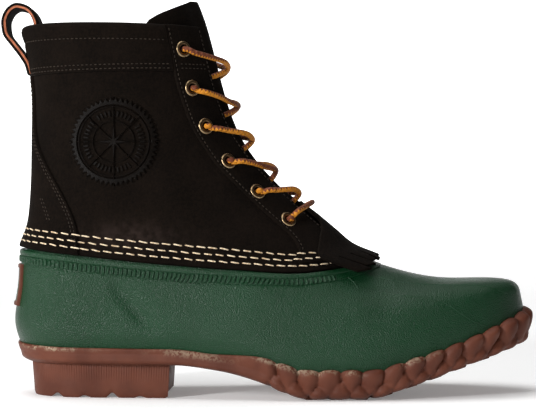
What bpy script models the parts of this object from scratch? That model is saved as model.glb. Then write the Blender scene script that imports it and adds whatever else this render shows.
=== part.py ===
"""Duck boot, right foot: a rubber lower with a laced leather shaft, on a lugged rubber outsole.

Metres, +Z up, +X to the toe, +Y to the inner side of the foot. The origin is on the floor under the
middle of the heel. Every outer piece is taken from one surface, the Last, whose level rings run round the
boot from the feather edge at the sole to the collar and on to the top of the tongue.
"""

import math
from collections import namedtuple

import bmesh
import bpy
import numpy as np
from mathutils import Vector

# Overall sizes
LENGTH = 0.300
HEEL_WIDTH = 0.077
BALL_WIDTH = 0.104
COLLAR_HEIGHT = 0.214
HEEL_CENTRE = 0.052

# Outsole and heel
HEEL_LIFT = 0.0185
TOE_SPRING = 0.0300
SOLE_PLATE = 0.0070
LUG_DEPTH = 0.0028
FOXING_HEIGHT = 0.0120
FOXING_THICKNESS = 0.0040
RIM_WIDTH = 0.0045
RIM_GAP = 0.0005
RIM_LIFT = 0.0004
RIM_DRAFT = 0.0012
LOBES_PER_SIDE = 13
LOBE_START = 0.47
LOBE_COLUMNS = (0.0, 0.26, 0.74)
LOBE_RELIEF = 0.0013
LUG_PITCH = 0.0142
LUG_WIDTH = 0.0070
LUG_WAVE = 0.0032
LUG_SINK = 0.0016
LUG_FIRST = 0.170
LUG_COUNT = 8
HEEL_FRONT = 0.0925
HEEL_INSET = 0.0052
HEEL_SHARE = 0.86
HEEL_TAPER = 0.0012
HEEL_LUGS = 5
HEEL_GROOVE = 0.0026
BREAST_HOLLOW = 0.0030

# Walls and overlays
UPPER_HEIGHT = COLLAR_HEIGHT - HEEL_LIFT - SOLE_PLATE
GAP = 0.0003
OVERLAY_GAP = 0.0005
SHELL_WALL = 0.0026
LEATHER = 0.0020
OVERLAY = 0.0013
TONGUE_WALL = 0.0026
INSOLE = 0.0035
INSOLE_LIFT = 0.0010
BEAD_RAISE = 0.0008
BEAD_HEIGHT = 0.0062
BEAD_DROP = 0.0012
HEM_OVERLAP = 0.0100
HEM_BAND = 0.0122
CUFF_HEIGHT = 0.0260
EYESTAY_WIDTH = 0.0260

# Eyelets and lace
EYELETS_PER_SIDE = 6
EYELET_SETBACK = 0.0175
EYELET_TOP_DROP = 0.0143
EYELET_PITCH = 0.0225
EYELET_FLANGE = 0.0046
EYELET_BARREL = 0.0029
EYELET_BORE = 0.0023
EYELET_RISE = 0.0010
LACE_DIAMETER = 0.0032
LACE_STANDOFF = 0.0030
LACE_STATIONS = 6
LACE_TUCK = 0.80
CROSSING_REACH = 0.62
LOWEST_CROSSING_REACH = 0.34
BAR_RISE = 0.22
BAR_STANDOFF = -0.0004

# Patch, pull loop, kiltie
PATCH_WIDTH = 0.037
PATCH_HEIGHT = 0.0245
PATCH_THICKNESS = 0.0015
PATCH_LEVEL = 3.55
STRAP_WIDTH = 0.0220
STRAP_THICKNESS = 0.0022
KILTIE_THICKNESS = 0.0016
KILTIE_CLEAR = 0.0005
KILTIE_SPRING = 0.0028
KILTIE_TOP_LEVEL = 8.05
KILTIE_FOOT_LEVEL = 5.72
FRINGE_STRIPS = 9
FRINGE_LENGTH = 0.0130
FRINGE_CUT = 0.14

LATERAL, MEDIAL = -1.0, 1.0
RING_SAMPLES = 121

# Underside of the sole, at stations along the length: shares of HEEL_LIFT and of TOE_SPRING.
Station = namedtuple("Station", "name along heel_share toe_share")
UNDERSIDE = (
    Station("heel back", 0.00, 1.00, 0.00),
    Station("heel breast", 0.31, 1.00, 0.00),
    Station("shank", 0.40, 0.84, 0.00),
    Station("waist", 0.47, 0.55, 0.00),
    Station("tread back", 0.540, 0.11, 0.00),
    Station("tread", 0.570, 0.00, 0.00),
    Station("tread front", 0.680, 0.00, 0.00),
    Station("toe bend", 0.76, 0.00, 0.21),
    Station("toe", 0.88, 0.00, 0.61),
    Station("tip", 1.00, 0.00, 1.00),
)

# Edge of the sole round one half, from the back of the heel (0) to the toe (1): foxing height above the seat
# as a share of FOXING_HEIGHT, and how far the edge stands out of the shell, as shares of FOXING_THICKNESS.
Edge = namedtuple("Edge", "name along height foot mid high")
SOLE_EDGE = (
    Edge("heel back", 0.00, 0.44, -1.25, 0.60, 0.50),
    Edge("heel side", 0.18, 0.26, -1.10, 0.65, 0.55),
    Edge("waist", 0.38, 0.22, -1.00, 0.65, 0.55),
    Edge("ball", 0.52, 0.86, -0.30, 0.90, 0.75),
    Edge("toe side", 0.80, 0.84, -0.30, 1.00, 0.85),
    Edge("toe", 0.93, 1.12, -0.45, 1.75, 1.35),
    Edge("tip", 1.00, 1.25, -0.50, 2.05, 1.55),
)

# One ring round the boot for each level. back and front are its ends along LENGTH, back_rise and front_rise
# their heights above the seat, in UPPER_HEIGHT. follow is how much of the sole's dip the ring takes and sag
# its own dip in COLLAR_HEIGHT. heel_half and ball_half are in HEEL_WIDTH and BALL_WIDTH. back_end and
# front_end are the shares of the ring taken by its rounded ends, and front_power how square the front one is.
# waist is the pinch at the arch and swing the shift of the toe to the inner side, both in BALL_WIDTH.
Level = namedtuple(
    "Level",
    "name back back_rise front front_rise follow sag heel_half ball_half"
    " back_end front_end front_power waist swing",
)
LEVELS = (
    Level("feather", 0.017, 0.001, 0.982, 0.004, 1.00, 0.000, 0.430, 0.445, 0.13, 0.34, 2.15, 0.050, 0.060),
    Level("bulge", 0.002, 0.071, 0.997, 0.053, 0.90, 0.000, 0.490, 0.490, 0.13, 0.35, 2.15, 0.030, 0.060),
    Level("wall", 0.002, 0.130, 0.993, 0.110, 0.80, 0.000, 0.500, 0.485, 0.14, 0.36, 2.15, 0.022, 0.060),
    Level("shoulder", 0.008, 0.183, 0.973, 0.167, 0.70, 0.000, 0.500, 0.463, 0.14, 0.37, 2.15, 0.016, 0.058),
    Level("toe top", 0.011, 0.226, 0.893, 0.216, 0.60, 0.000, 0.495, 0.440, 0.14, 0.38, 2.15, 0.010, 0.048),
    Level("vamp", 0.012, 0.273, 0.800, 0.275, 0.50, 0.010, 0.490, 0.418, 0.15, 0.38, 2.15, 0.008, 0.034),
    Level("hem", 0.0135, 0.321, 0.690, 0.380, 0.20, 0.042, 0.485, 0.398, 0.17, 0.36, 2.10, 0.006, 0.018),
    Level("throat", 0.027, 0.380, 0.632, 0.449, 0.10, 0.030, 0.468, 0.368, 0.23, 0.42, 1.90, 0.004, 0.008),
    Level("instep", 0.034, 0.460, 0.560, 0.545, 0.00, 0.016, 0.452, 0.345, 0.32, 0.46, 1.75, 0.000, 0.000),
    Level("ankle", 0.037, 0.564, 0.480, 0.627, 0.00, 0.006, 0.445, 0.338, 0.40, 0.50, 1.70, 0.000, 0.000),
    Level("low leg", 0.038, 0.687, 0.433, 0.725, 0.00, 0.000, 0.458, 0.345, 0.46, 0.52, 1.70, 0.000, 0.000),
    Level("leg", 0.036, 0.830, 0.404, 0.858, 0.00, 0.000, 0.500, 0.372, 0.50, 0.50, 1.75, 0.000, 0.000),
    Level("collar", 0.018, 1.000, 0.379, 1.005, 0.00, 0.000, 0.545, 0.404, 0.50, 0.50, 1.80, 0.000, 0.000),
    Level("top edge", 0.006, 1.096, 0.357, 1.096, 0.00, 0.000, 0.560, 0.414, 0.50, 0.50, 1.80, 0.000, 0.000),
)
HEM_LEVEL = 6.0
COLLAR_LEVEL = 12.0
BACK_POWER = 2.2
BALL_STATION = {LATERAL: 0.60, MEDIAL: 0.68}
WAIST_STATION = 0.42
WAIST_SPAN = 0.20
WAIST_SIDE = {LATERAL: 0.25, MEDIAL: 1.0}
SAG_SKEW, SAG_POWER = 1.4, 0.7

# Half width of the throat, up the shaft, and half width of the backstay, both in HEEL_WIDTH.
Width = namedtuple("Width", "level half")
THROAT = (
    Width(6.40, 0.340),
    Width(6.85, 0.200),
    Width(7.40, 0.135),
    Width(8.00, 0.126),
    Width(9.00, 0.138),
    Width(10.00, 0.170),
    Width(11.00, 0.212),
    Width(12.00, 0.230),
    Width(13.00, 0.240),
)
BACKSTAY = (
    Width(6.00, 0.790),
    Width(7.00, 0.690),
    Width(8.00, 0.545),
    Width(9.00, 0.345),
    Width(9.80, 0.190),
    Width(10.35, 0.140),
    Width(11.13, 0.130),
)
TONGUE_WIDTHS = (
    Width(6.45, 0.36),
    Width(8.00, 0.36),
    Width(10.00, 0.46),
    Width(11.00, 0.58),
    Width(12.00, 0.68),
    Width(12.40, 0.51),
    Width(12.75, 0.39),
    Width(12.95, 0.24),
)
KILTIE_WIDTHS = (
    Width(5.72, 0.58),
    Width(6.30, 0.53),
    Width(7.00, 0.32),
    Width(7.50, 0.130),
    Width(8.05, 0.075),
)

# Centreline of the pull loop, seen from the side: chosen by hand, from the outer end over the collar and down
# inside. x is in LENGTH from the back of the boot, z in COLLAR_HEIGHT.
PULL_LOOP = (
    (0.0232, 0.872),
    (0.0192, 0.898),
    (0.0090, 0.925),
    (-0.0060, 0.955),
    (-0.0170, 0.985),
    (-0.0190, 1.015),
    (-0.0100, 1.043),
    (0.0060, 1.055),
    (0.0240, 1.049),
    (0.0375, 1.032),
    (0.0450, 1.004),
    (0.0465, 0.975),
    (0.0465, 0.948),
    (0.0445, 0.925),
)


def spline_through(stations, values):
    """Returns a smooth function through the points that never passes a neighbour's height."""
    x, y = np.asarray(stations, float), np.asarray(values, float)
    steps = np.diff(x)
    slopes = np.diff(y) / steps
    tangents = np.zeros(len(x))
    tangents[0], tangents[-1] = slopes[0], slopes[-1]
    for i in range(1, len(x) - 1):
        if slopes[i - 1] * slopes[i] > 0:
            tangents[i] = 2 / (1 / slopes[i - 1] + 1 / slopes[i])

    def at(where):
        where = np.clip(np.asarray(where, float), x[0], x[-1])
        i = np.clip(np.searchsorted(x, where, side="right") - 1, 0, len(steps) - 1)
        t = (where - x[i]) / steps[i]
        a = (1 + 2 * t) * (1 - t) ** 2 * y[i] + t * (1 - t) ** 2 * steps[i] * tangents[i]
        b = t * t * (3 - 2 * t) * y[i + 1] - t * t * (1 - t) * steps[i] * tangents[i + 1]
        return a + b

    return at


def ease(t):
    """Goes smoothly from 0 to 1."""
    t = np.clip(t, 0.0, 1.0)
    return t * t * (3 - 2 * t)


underside_share = spline_through(
    [s.along for s in UNDERSIDE],
    [s.heel_share * HEEL_LIFT + s.toe_share * TOE_SPRING for s in UNDERSIDE],
)


def underside(x):
    """Height of the sole's underside at x, measured from the back of the boot."""
    return underside_share(np.asarray(x) / LENGTH)


def seat(x):
    """Height of the top of the sole plate, on which shell and insole stand."""
    return underside(x) + SOLE_PLATE


def half_ring(level, side):
    """Points of one half of a level ring, from back to front, evenly spaced along it."""
    turn = np.linspace(0.0, math.pi, 4 * RING_SAMPLES)
    a = (1 - np.cos(turn)) / 2
    x_back, x_front = level.back * LENGTH, level.front * LENGTH
    x = x_back + (x_front - x_back) * a
    heel, ball = level.heel_half * HEEL_WIDTH, level.ball_half * BALL_WIDTH
    half = heel + (ball - heel) * ease(a / BALL_STATION[side])
    pinch = np.exp(-(((a - WAIST_STATION) / WAIST_SPAN) ** 2))
    half -= level.waist * BALL_WIDTH * WAIST_SIDE[side] * pinch
    near_back = np.clip(1 - a / level.back_end, 0, 1)
    near_front = np.clip(1 - (1 - a) / level.front_end, 0, 1)
    half *= (1 - near_back**BACK_POWER) ** (1 / BACK_POWER)
    half *= (1 - near_front**level.front_power) ** (1 / level.front_power)
    centre = level.swing * BALL_WIDTH * ease((a - 0.4) / 0.6)
    z_back = seat(x_back) + level.back_rise * UPPER_HEIGHT
    z_front = seat(x_front) + level.front_rise * UPPER_HEIGHT
    dip = seat(x) - (seat(x_back) + (seat(x_front) - seat(x_back)) * a)
    z = z_back + (z_front - z_back) * a + level.follow * dip
    z = z - level.sag * COLLAR_HEIGHT * np.sin(math.pi * a**SAG_SKEW) ** SAG_POWER
    points = np.stack([x, centre + side * half, z], axis=1)
    run = np.concatenate([[0], np.cumsum(np.linalg.norm(np.diff(points, axis=0), axis=1))])
    even = np.linspace(0, run[-1], RING_SAMPLES)
    return np.stack([np.interp(even, run, points[:, k]) for k in range(3)], axis=1), run[-1]


class Last:
    """The outer surface of the boot. u runs round it, 0 at the back and 1 (or -1) at the front, positive on
    the inner side. v counts levels upwards. x is measured from the back of the boot."""

    def __init__(self):
        count = len(LEVELS)
        self.rings = {}
        self.lengths = {}
        bend = np.diag(np.full(count, 4.0)) + np.eye(count, k=1) + np.eye(count, k=-1)
        bend[0], bend[-1] = np.eye(count)[0], np.eye(count)[-1]
        for side in (LATERAL, MEDIAL):
            made = [half_ring(level, side) for level in LEVELS]
            rings = np.array([ring for ring, _ in made])
            pull = np.zeros_like(rings)
            pull[1:-1] = 6 * (rings[2:] - 2 * rings[1:-1] + rings[:-2])
            curves = np.linalg.solve(bend, pull.reshape(count, -1)).reshape(rings.shape)
            self.rings[side] = (rings, curves)
            self.lengths[side] = np.array([length for _, length in made])

    def point(self, u, v):
        """Point on the surface."""
        u = (u + 1.0) % 2.0 - 1.0
        side = MEDIAL if u >= 0 else LATERAL
        rings, curves = self.rings[side]
        column = abs(u) * (RING_SAMPLES - 1)
        c = min(int(column), RING_SAMPLES - 2)
        t = column - c
        i = int(np.clip(math.floor(v), 0, len(LEVELS) - 2))
        b = v - i
        a = 1 - b
        rows = a * rings[i] + b * rings[i + 1]
        rows = rows + ((a**3 - a) * curves[i] + (b**3 - b) * curves[i + 1]) / 6
        return rows[c] * (1 - t) + rows[c + 1] * t

    def normal(self, u, v):
        """Outward normal of the surface."""
        du, dv = 0.012, 0.04
        along = self.point(u + du, v) - self.point(u - du, v)
        up = self.point(u, min(v + dv, len(LEVELS) - 1)) - self.point(u, max(v - dv, 0.0))
        across = np.cross(up, along)
        return across / np.linalg.norm(across)

    def off(self, u, v, distance):
        """Point at a distance outside the surface."""
        return self.point(u, v) + self.normal(u, v) * distance

    def half_length(self, u, v):
        """Length of the half ring at level v, on the side of u."""
        side = MEDIAL if u >= 0 else LATERAL
        return float(np.interp(v, range(len(LEVELS)), self.lengths[side]))

    def climb(self, u, v, distance):
        """The level reached from v by going up the surface by a distance, or down for a negative one."""
        step = 0.04 if distance > 0 else -0.04
        here, left = self.point(u, v), abs(distance)
        while left > 0:
            there = self.point(u, v + step)
            run = np.linalg.norm(there - here)
            if run >= left:
                return v + step * left / run
            here, left, v = there, left - run, v + step
        return v

    def level_at(self, u, height, top=4.0):
        """The level at which column u reaches a height, low on the boot."""
        levels = np.linspace(0.0, top, 60)
        heights = [self.point(u, v)[2] for v in levels]
        return float(np.interp(height, heights, levels))


last = Last()
ORIGIN = np.array([HEEL_CENTRE, 0.0, 0.0])
throat_half = spline_through([w.level for w in THROAT], [w.half * HEEL_WIDTH for w in THROAT])
backstay_half = spline_through([w.level for w in BACKSTAY], [w.half * HEEL_WIDTH for w in BACKSTAY])
tongue_half = spline_through([w.level for w in TONGUE_WIDTHS], [w.half * HEEL_WIDTH for w in TONGUE_WIDTHS])
kiltie_half = spline_through([w.level for w in KILTIE_WIDTHS], [w.half * HEEL_WIDTH for w in KILTIE_WIDTHS])


def throat_edge(side, v, setback=0.0):
    """u of the shaft's front edge at level v, or of a line a setback behind it."""
    return side * (1 - (throat_half(v) + setback) / last.half_length(side, v))


def material(name, colour, roughness, metallic=0.0):
    """A plain finish in one colour."""
    made = bpy.data.materials.new(name)
    made.use_nodes = True
    shader = made.node_tree.nodes["Principled BSDF"]
    shader.inputs["Base Color"].default_value = (*colour, 1.0)
    shader.inputs["Roughness"].default_value = roughness
    shader.inputs["Metallic"].default_value = metallic
    return made


def finish(name, bm, finish_material):
    """Makes the object from a bmesh whose x is measured from the back of the boot."""
    bmesh.ops.translate(bm, verts=bm.verts, vec=Vector(-ORIGIN))
    bmesh.ops.recalc_face_normals(bm, faces=bm.faces)
    mesh = bpy.data.meshes.new(name)
    bm.to_mesh(mesh)
    bm.free()
    mesh.shade_smooth()
    mesh.set_sharp_from_angle(angle=math.radians(40))
    mesh.materials.append(finish_material)
    obj = bpy.data.objects.new(name, mesh)
    bpy.context.scene.collection.objects.link(obj)
    return obj


def grid_cells(rows, columns, closed=False):
    """Corner indices of the cells of a grid, whose last column may meet the first."""
    spans = columns if closed else columns - 1
    for r in range(rows - 1):
        for c in range(spans):
            d = (c + 1) % columns
            yield (r * columns + c, r * columns + d, (r + 1) * columns + d, (r + 1) * columns + c)


def wall(name, outer, inner, cells, finish_material):
    """A closed solid between two sheets that share their cells: both faces, and a rim round every edge."""
    bm = bmesh.new()
    out = [bm.verts.new(p) for p in outer]
    ins = [bm.verts.new(p) for p in inner]
    sides = {}
    for cell in cells:
        bm.faces.new([out[k] for k in cell])
        bm.faces.new([ins[k] for k in reversed(cell)])
        for a, b in zip(cell, cell[1:] + cell[:1]):
            if (b, a) in sides:
                del sides[(b, a)]
            else:
                sides[(a, b)] = True
    for a, b in sides:
        bm.faces.new([out[b], out[a], ins[a], ins[b]])
    loose = [v for v in bm.verts if not v.link_faces]
    bmesh.ops.delete(bm, geom=loose, context="VERTS")
    return finish(name, bm, finish_material)


def loft(name, sections, finish_material, closed_path=False):
    """A solid through rings of the same number of points, capped at both ends."""
    bm = bmesh.new()
    rings = [[bm.verts.new(p) for p in section] for section in sections]
    pairs = list(zip(rings, rings[1:] + rings[:1] if closed_path else rings[1:]))
    for first, second in pairs:
        count = len(first)
        for k in range(count):
            m = (k + 1) % count
            bm.faces.new([first[k], first[m], second[m], second[k]])
    if not closed_path:
        bm.faces.new(rings[0][::-1])
        bm.faces.new(rings[-1])
    return finish(name, bm, finish_material)


def cut(obj, cutter):
    """Takes a cutter's shape out of an object."""
    cutter.hide_render = True
    cutter.display_type = "WIRE"
    modifier = obj.modifiers.new("cut " + cutter.name, "BOOLEAN")
    modifier.operation = "DIFFERENCE"
    modifier.object = cutter


def join(obj, added):
    """Adds a helper's shape to an object, as one body."""
    added.hide_render = True
    added.display_type = "WIRE"
    modifier = obj.modifiers.new("join " + added.name, "BOOLEAN")
    modifier.operation = "UNION"
    modifier.object = added


def ring_columns(count):
    """u of evenly spaced columns right round the boot."""
    return [-1 + 2 * k / count for k in range(count)]


def make_shell(rubber):
    """Rubber lower: a wall from the feather edge to the rim under the leather, with the bead round it."""
    columns = ring_columns(44)
    rise = np.linspace(0.0, 1.0, 7)
    tuck = LEATHER + 2 * GAP
    outer, inner = [], []
    rows = [("body", f, 0.0, -SHELL_WALL) for f in rise]
    top, foot = -BEAD_DROP, -BEAD_DROP - BEAD_HEIGHT
    step = BEAD_RAISE / 2
    rows.append(("drop", foot + step, BEAD_RAISE, -SHELL_WALL))
    rows.append(("drop", top - step, BEAD_RAISE, -SHELL_WALL - tuck / 2))
    rows.append(("drop", top, -tuck, -SHELL_WALL - tuck))
    rows.append(("drop", HEM_OVERLAP, -tuck, -SHELL_WALL - tuck))
    for kind, where, out, into in rows:
        for u in columns:
            if kind == "body":
                v = where * last.climb(u, HEM_LEVEL, foot)
            else:
                v = last.climb(u, HEM_LEVEL, where)
            lift = GAP * (1 - where) if kind == "body" else 0.0
            raised = np.array([0.0, 0.0, lift])
            outer.append(last.off(u, v, out) + raised)
            inner.append(last.off(u, v, into) + raised)
    # The feather edge is level with the seat on both faces of the wall.
    for k in range(len(columns)):
        inner[k][2] = outer[k][2]
    cells = grid_cells(len(rows), len(columns), closed=True)
    return wall("rubber_shell", outer, inner, cells, rubber)


def eyelet_spots():
    """(name, u, v) of each eyelet, from the collar down on both sides."""
    spots = []
    for side, word in ((LATERAL, "outer"), (MEDIAL, "inner")):
        v = COLLAR_LEVEL
        for k in range(EYELETS_PER_SIDE):
            u = throat_edge(side, v, EYELET_SETBACK)
            v = last.climb(u, v, -(EYELET_TOP_DROP if k == 0 else EYELET_PITCH))
            spots.append((f"eyelet_{word}_{k + 1}", throat_edge(side, v, EYELET_SETBACK), v))
    return spots


def eyelet_holes(name, side=None):
    """Cutter: a short bar through the leather at each eyelet, all of them or one side's."""
    radius = EYELET_BARREL + GAP
    bm = bmesh.new()
    for _, u, v in eyelet_spots():
        if side is not None and u * side < 0:
            continue
        place = last.point(u, v) - ORIGIN
        turn = Vector(last.normal(u, v)).to_track_quat("Z", "Y").to_matrix().to_4x4()
        made = bmesh.ops.create_cone(
            bm, cap_ends=True, segments=8, radius1=radius, radius2=radius, depth=5 * LEATHER
        )
        bmesh.ops.transform(bm, matrix=turn, verts=made["verts"])
        bmesh.ops.translate(bm, verts=made["verts"], vec=Vector(place))
    mesh = bpy.data.meshes.new(name)
    bm.to_mesh(mesh)
    bm.free()
    cutter = bpy.data.objects.new(name, mesh)
    bpy.context.scene.collection.objects.link(cutter)
    return cutter


def make_shaft(leather):
    """Leather shaft: both quarters in one wall, with a hem band that is closed across the front."""
    spans, bridge = 34, 4
    turns = np.linspace(-1.0, 1.0, spans + 1)
    levels = list(np.linspace(6.85, COLLAR_LEVEL, 8))
    outer, inner, cells = [], [], []

    def add(u, v):
        outer.append(last.point(u, v))
        inner.append(last.off(u, v, -LEATHER))
        return len(outer) - 1

    rows = []
    for height in (0.0, HEM_BAND / 2, HEM_BAND):
        edge = throat_edge(MEDIAL, THROAT[0].level)
        row = []
        for t in turns:
            row.append(add(t * edge, last.climb(t * edge, HEM_LEVEL, height)))
        for k in range(1, bridge):
            u = edge + 2 * (1 - edge) * k / bridge
            row.append(add(u, last.climb(u, HEM_LEVEL, height)))
        rows.append(row)
    for low, high in zip(rows, rows[1:]):
        for c in range(len(low)):
            d = (c + 1) % len(low)
            cells.append((low[c], low[d], high[d], high[c]))
    below = rows[-1][: spans + 1]
    for v in levels:
        row = []
        for t in turns:
            side = LATERAL if t < 0 else MEDIAL
            u = t * abs(throat_edge(side, v))
            row.append(add(u, v))
        for c in range(spans):
            cells.append((below[c], below[c + 1], row[c + 1], row[c]))
        below = row
    shaft = wall("shaft", outer, inner, cells, leather)
    cut(shaft, eyelet_holes("shaft_holes"))
    return shaft


def overlay(name, levels, edges, finish_material, columns):
    """A piece of leather laid on the shaft. edges(v) gives u at its two sides."""
    outer, inner = [], []
    for v in levels:
        first, second = edges(v)
        for t in np.linspace(0.0, 1.0, columns):
            u = first + (second - first) * t
            outer.append(last.off(u, v, OVERLAY_GAP + OVERLAY))
            inner.append(last.off(u, v, OVERLAY_GAP))
    return wall(name, outer, inner, grid_cells(len(levels), columns), finish_material)


def make_eyestay(side, word, leather):
    """Lace stay along one side of the throat."""

    def edges(v):
        return throat_edge(side, v), throat_edge(side, v, EYESTAY_WIDTH)

    levels = np.concatenate([[6.62, 6.85, 7.1], np.linspace(7.5, COLLAR_LEVEL, 8)])
    stay = overlay(f"eyestay_{word}", levels, edges, leather, 4)
    cut(stay, eyelet_holes(f"eyestay_{word}_holes", side))
    return stay


def make_cuff(leather):
    """Band round the collar, between the two lace stays."""
    low = last.climb(0.0, COLLAR_LEVEL, -CUFF_HEIGHT)

    def edges(v):
        setback = EYESTAY_WIDTH + GAP
        return throat_edge(LATERAL, v, setback), throat_edge(MEDIAL, v, setback)

    levels = np.linspace(low, COLLAR_LEVEL, 3)
    return overlay("cuff", levels, edges, leather, 31)


def make_backstay(leather):
    """Counter over the heel that narrows to a strip up the back seam."""

    def edges(v):
        half = float(backstay_half(v))
        return -half / last.half_length(LATERAL, v), half / last.half_length(MEDIAL, v)

    levels = np.concatenate([[6.0, 6.5], np.linspace(7.0, BACKSTAY[-1].level, 8)])
    return overlay("backstay", levels, edges, leather, 13)


def make_tongue(leather):
    """Tongue: a curved flap behind the throat that fills it and stands above the collar."""
    columns = 11
    outer, inner = [], []
    foot = last.climb(1.0, HEM_LEVEL, HEM_OVERLAP + 2 * GAP)
    levels = np.concatenate([np.linspace(foot, 12.0, 8), [12.4, 12.75, TONGUE_WIDTHS[-1].level]])
    tuck = LEATHER + 2 * OVERLAY_GAP
    for v in levels:
        half = float(tongue_half(v))
        opening = float(throat_half(v)) * 0.8
        for t in np.linspace(-1.0, 1.0, columns):
            side = LATERAL if t < 0 else MEDIAL
            u = side * (1 - abs(t) * half / last.half_length(side, v))
            fill = 1 - ease(abs(t) * half / opening)
            low = ease((v - 7.0) / 2.0)
            depth = -tuck + fill * (tuck - 2 * GAP) * low
            if t == 0:
                u = 1.0
            outer.append(last.off(u, v, depth))
            inner.append(last.off(u, v, depth - TONGUE_WALL))
    cells = grid_cells(len(levels), columns)
    return wall("tongue", outer, inner, cells, leather)


def kiltie_lift(v):
    """How far the kiltie stands off: inside the throat at its top, over the lace stays, then springing up."""
    reach = (KILTIE_TOP_LEVEL - v) / (KILTIE_TOP_LEVEL - KILTIE_FOOT_LEVEL)
    over_stays = (OVERLAY_GAP + OVERLAY) * ease((8.05 - v) / 0.45)
    return KILTIE_CLEAR + over_stays + KILTIE_SPRING * ease((reach - 0.5) / 0.5)


def make_kiltie(leather):
    """Fringed flap over the foot of the throat, its strips cut from the same leather."""
    per_strip = 2
    columns = FRINGE_STRIPS * per_strip
    body = np.linspace(KILTIE_TOP_LEVEL, KILTIE_FOOT_LEVEL + 0.45, 5)
    outer, inner = [], []

    def add(t, v, lift):
        half = float(kiltie_half(v))
        side = LATERAL if t < 0 else MEDIAL
        u = side * (1 - abs(t) * half / last.half_length(side, v))
        outer.append(last.off(u, v, lift + KILTIE_THICKNESS))
        inner.append(last.off(u, v, lift))

    def spot(c, narrow):
        strip, within = divmod(c, per_strip)
        width = 2.0 / FRINGE_STRIPS
        centre = -1 + width * (strip + 0.5)
        return centre + (within / (per_strip - 1) - 0.5) * width * (1 - narrow)

    for v in body:
        for c in range(columns):
            add(spot(c, FRINGE_CUT), v, kiltie_lift(v))
    cells = list(grid_cells(len(body), columns))
    for row in range(1, 3):
        for c in range(columns):
            strip = c // per_strip
            centre = abs(-1 + 2 * (strip + 0.5) / FRINGE_STRIPS)
            reach = FRINGE_LENGTH * (0.72 + 0.5 * centre**2 + 0.10 * math.sin(2.4 * strip))
            t = spot(c, FRINGE_CUT * (1 + 0.8 * row))
            side = LATERAL if t < 0 else MEDIAL
            u = side * (1 - abs(t) * float(kiltie_half(body[-1])) / last.half_length(side, body[-1]))
            v = last.climb(u, body[-1], -reach * row / 2)
            flick = 0.0007 * row * math.sin(1.7 * strip + 0.6)
            add(t, v, kiltie_lift(v) + flick)
    start = (len(body) - 1) * columns
    for row in range(2):
        for c in range(columns):
            if c % per_strip < per_strip - 1:
                low = start + row * columns + c
                cells.append((low, low + 1, low + 1 + columns, low + columns))
    return wall("kiltie", outer, inner, cells, leather)


def sole_columns():
    """u round the sole: coarse round the heel and waist, three columns to each lobe from the ball on."""
    plain = list(np.linspace(0.0, LOBE_START, 11)[:-1])
    lobe = (1 - LOBE_START) / LOBES_PER_SIDE
    lobed = [LOBE_START + lobe * (n + p) for n in range(LOBES_PER_SIDE) for p in LOBE_COLUMNS]
    half = plain + lobed
    return [-s for s in [1.0] + half[:0:-1]] + half


def lobe_waves(s):
    """Relief of the upper and the lower row of lobes at s round one half, each from 0 to 1."""
    if s < LOBE_START:
        return 0.0, 0.0
    phase = (s - LOBE_START) / (1 - LOBE_START) * LOBES_PER_SIDE
    fade = float(ease(phase))
    notch = abs((phase + 0.5) % 1.0 - 0.5) / LOBE_COLUMNS[1]
    upper = min(notch, 1.0)
    return fade * upper, fade * (1 - upper)


def make_outsole(rubber):
    """Outsole: plate with arch and toe spring, a foxing wall of lobes round the shell, and the tread."""
    at = [e.along for e in SOLE_EDGE]
    height = spline_through(at, [e.height * FOXING_HEIGHT for e in SOLE_EDGE])
    reach = {
        part: spline_through(at, [getattr(e, part) * FOXING_THICKNESS for e in SOLE_EDGE])
        for part in ("foot", "mid", "high")
    }
    bm = bmesh.new()
    columns = sole_columns()
    rings = []
    for u in columns:
        s = abs(u)
        upper, lower = lobe_waves(s)
        feather = last.point(u, 0.0)
        out = last.normal(u, 0.6) * np.array([1.0, 1.0, 0.0])
        out = out / np.linalg.norm(out)
        floor = float(underside(feather[0]))
        plate = floor + SOLE_PLATE
        rim = float(height(s)) + LOBE_RELIEF * (upper - 0.5) * (upper + lower)
        groove = RIM_LIFT + (LUG_DEPTH - RIM_LIFT) * float(ease((s - LOBE_START + 0.02) / 0.04))

        def on(share, distance):
            z = plate + rim * share
            v = last.level_at(u, z)
            there = last.point(u, v) + out * distance
            return np.array([there[0], there[1], z])

        def under(z, distance):
            there = feather + out * distance
            return np.array([there[0], there[1], z])

        relief = LOBE_RELIEF
        rim_foot = floor + RIM_LIFT
        profile = [
            under(floor + groove, float(reach["foot"](s)) - RIM_WIDTH - RIM_DRAFT),
            under(rim_foot, float(reach["foot"](s)) - RIM_WIDTH),
            under(rim_foot, float(reach["foot"](s)) + relief * lower),
            under(floor + 0.55 * SOLE_PLATE, float(reach["mid"](s)) + relief * 0.5 * (upper + lower)),
            on(0.60, float(reach["high"](s)) + relief * upper),
            on(0.97, 0.45 * float(reach["high"](s)) + RIM_GAP),
            on(1.0, RIM_GAP),
            on(0.45, RIM_GAP),
            under(plate, RIM_GAP),
        ]
        rings.append([bm.verts.new(p) for p in profile])
    count = len(rings)
    for c in range(count):
        here, there = rings[c], rings[(c + 1) % count]
        for k in range(len(here) - 1):
            bm.faces.new([here[k], here[k + 1], there[k + 1], there[k]])
    # Strips from side to side close the plate, above and below.
    half = count // 2
    for k in (0, len(rings[0]) - 1):
        bm.faces.new([rings[0][k], rings[1][k], rings[count - 1][k]])
        for c in range(1, half - 1):
            bm.faces.new(
                [rings[c][k], rings[c + 1][k], rings[count - c - 1][k], rings[count - c][k]]
            )
        bm.faces.new([rings[half - 1][k], rings[half][k], rings[half + 1][k]])
    sole = finish("outsole", bm, rubber)
    for n in range(LUG_COUNT):
        join(sole, make_lug(n, rubber))
    return sole


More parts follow.
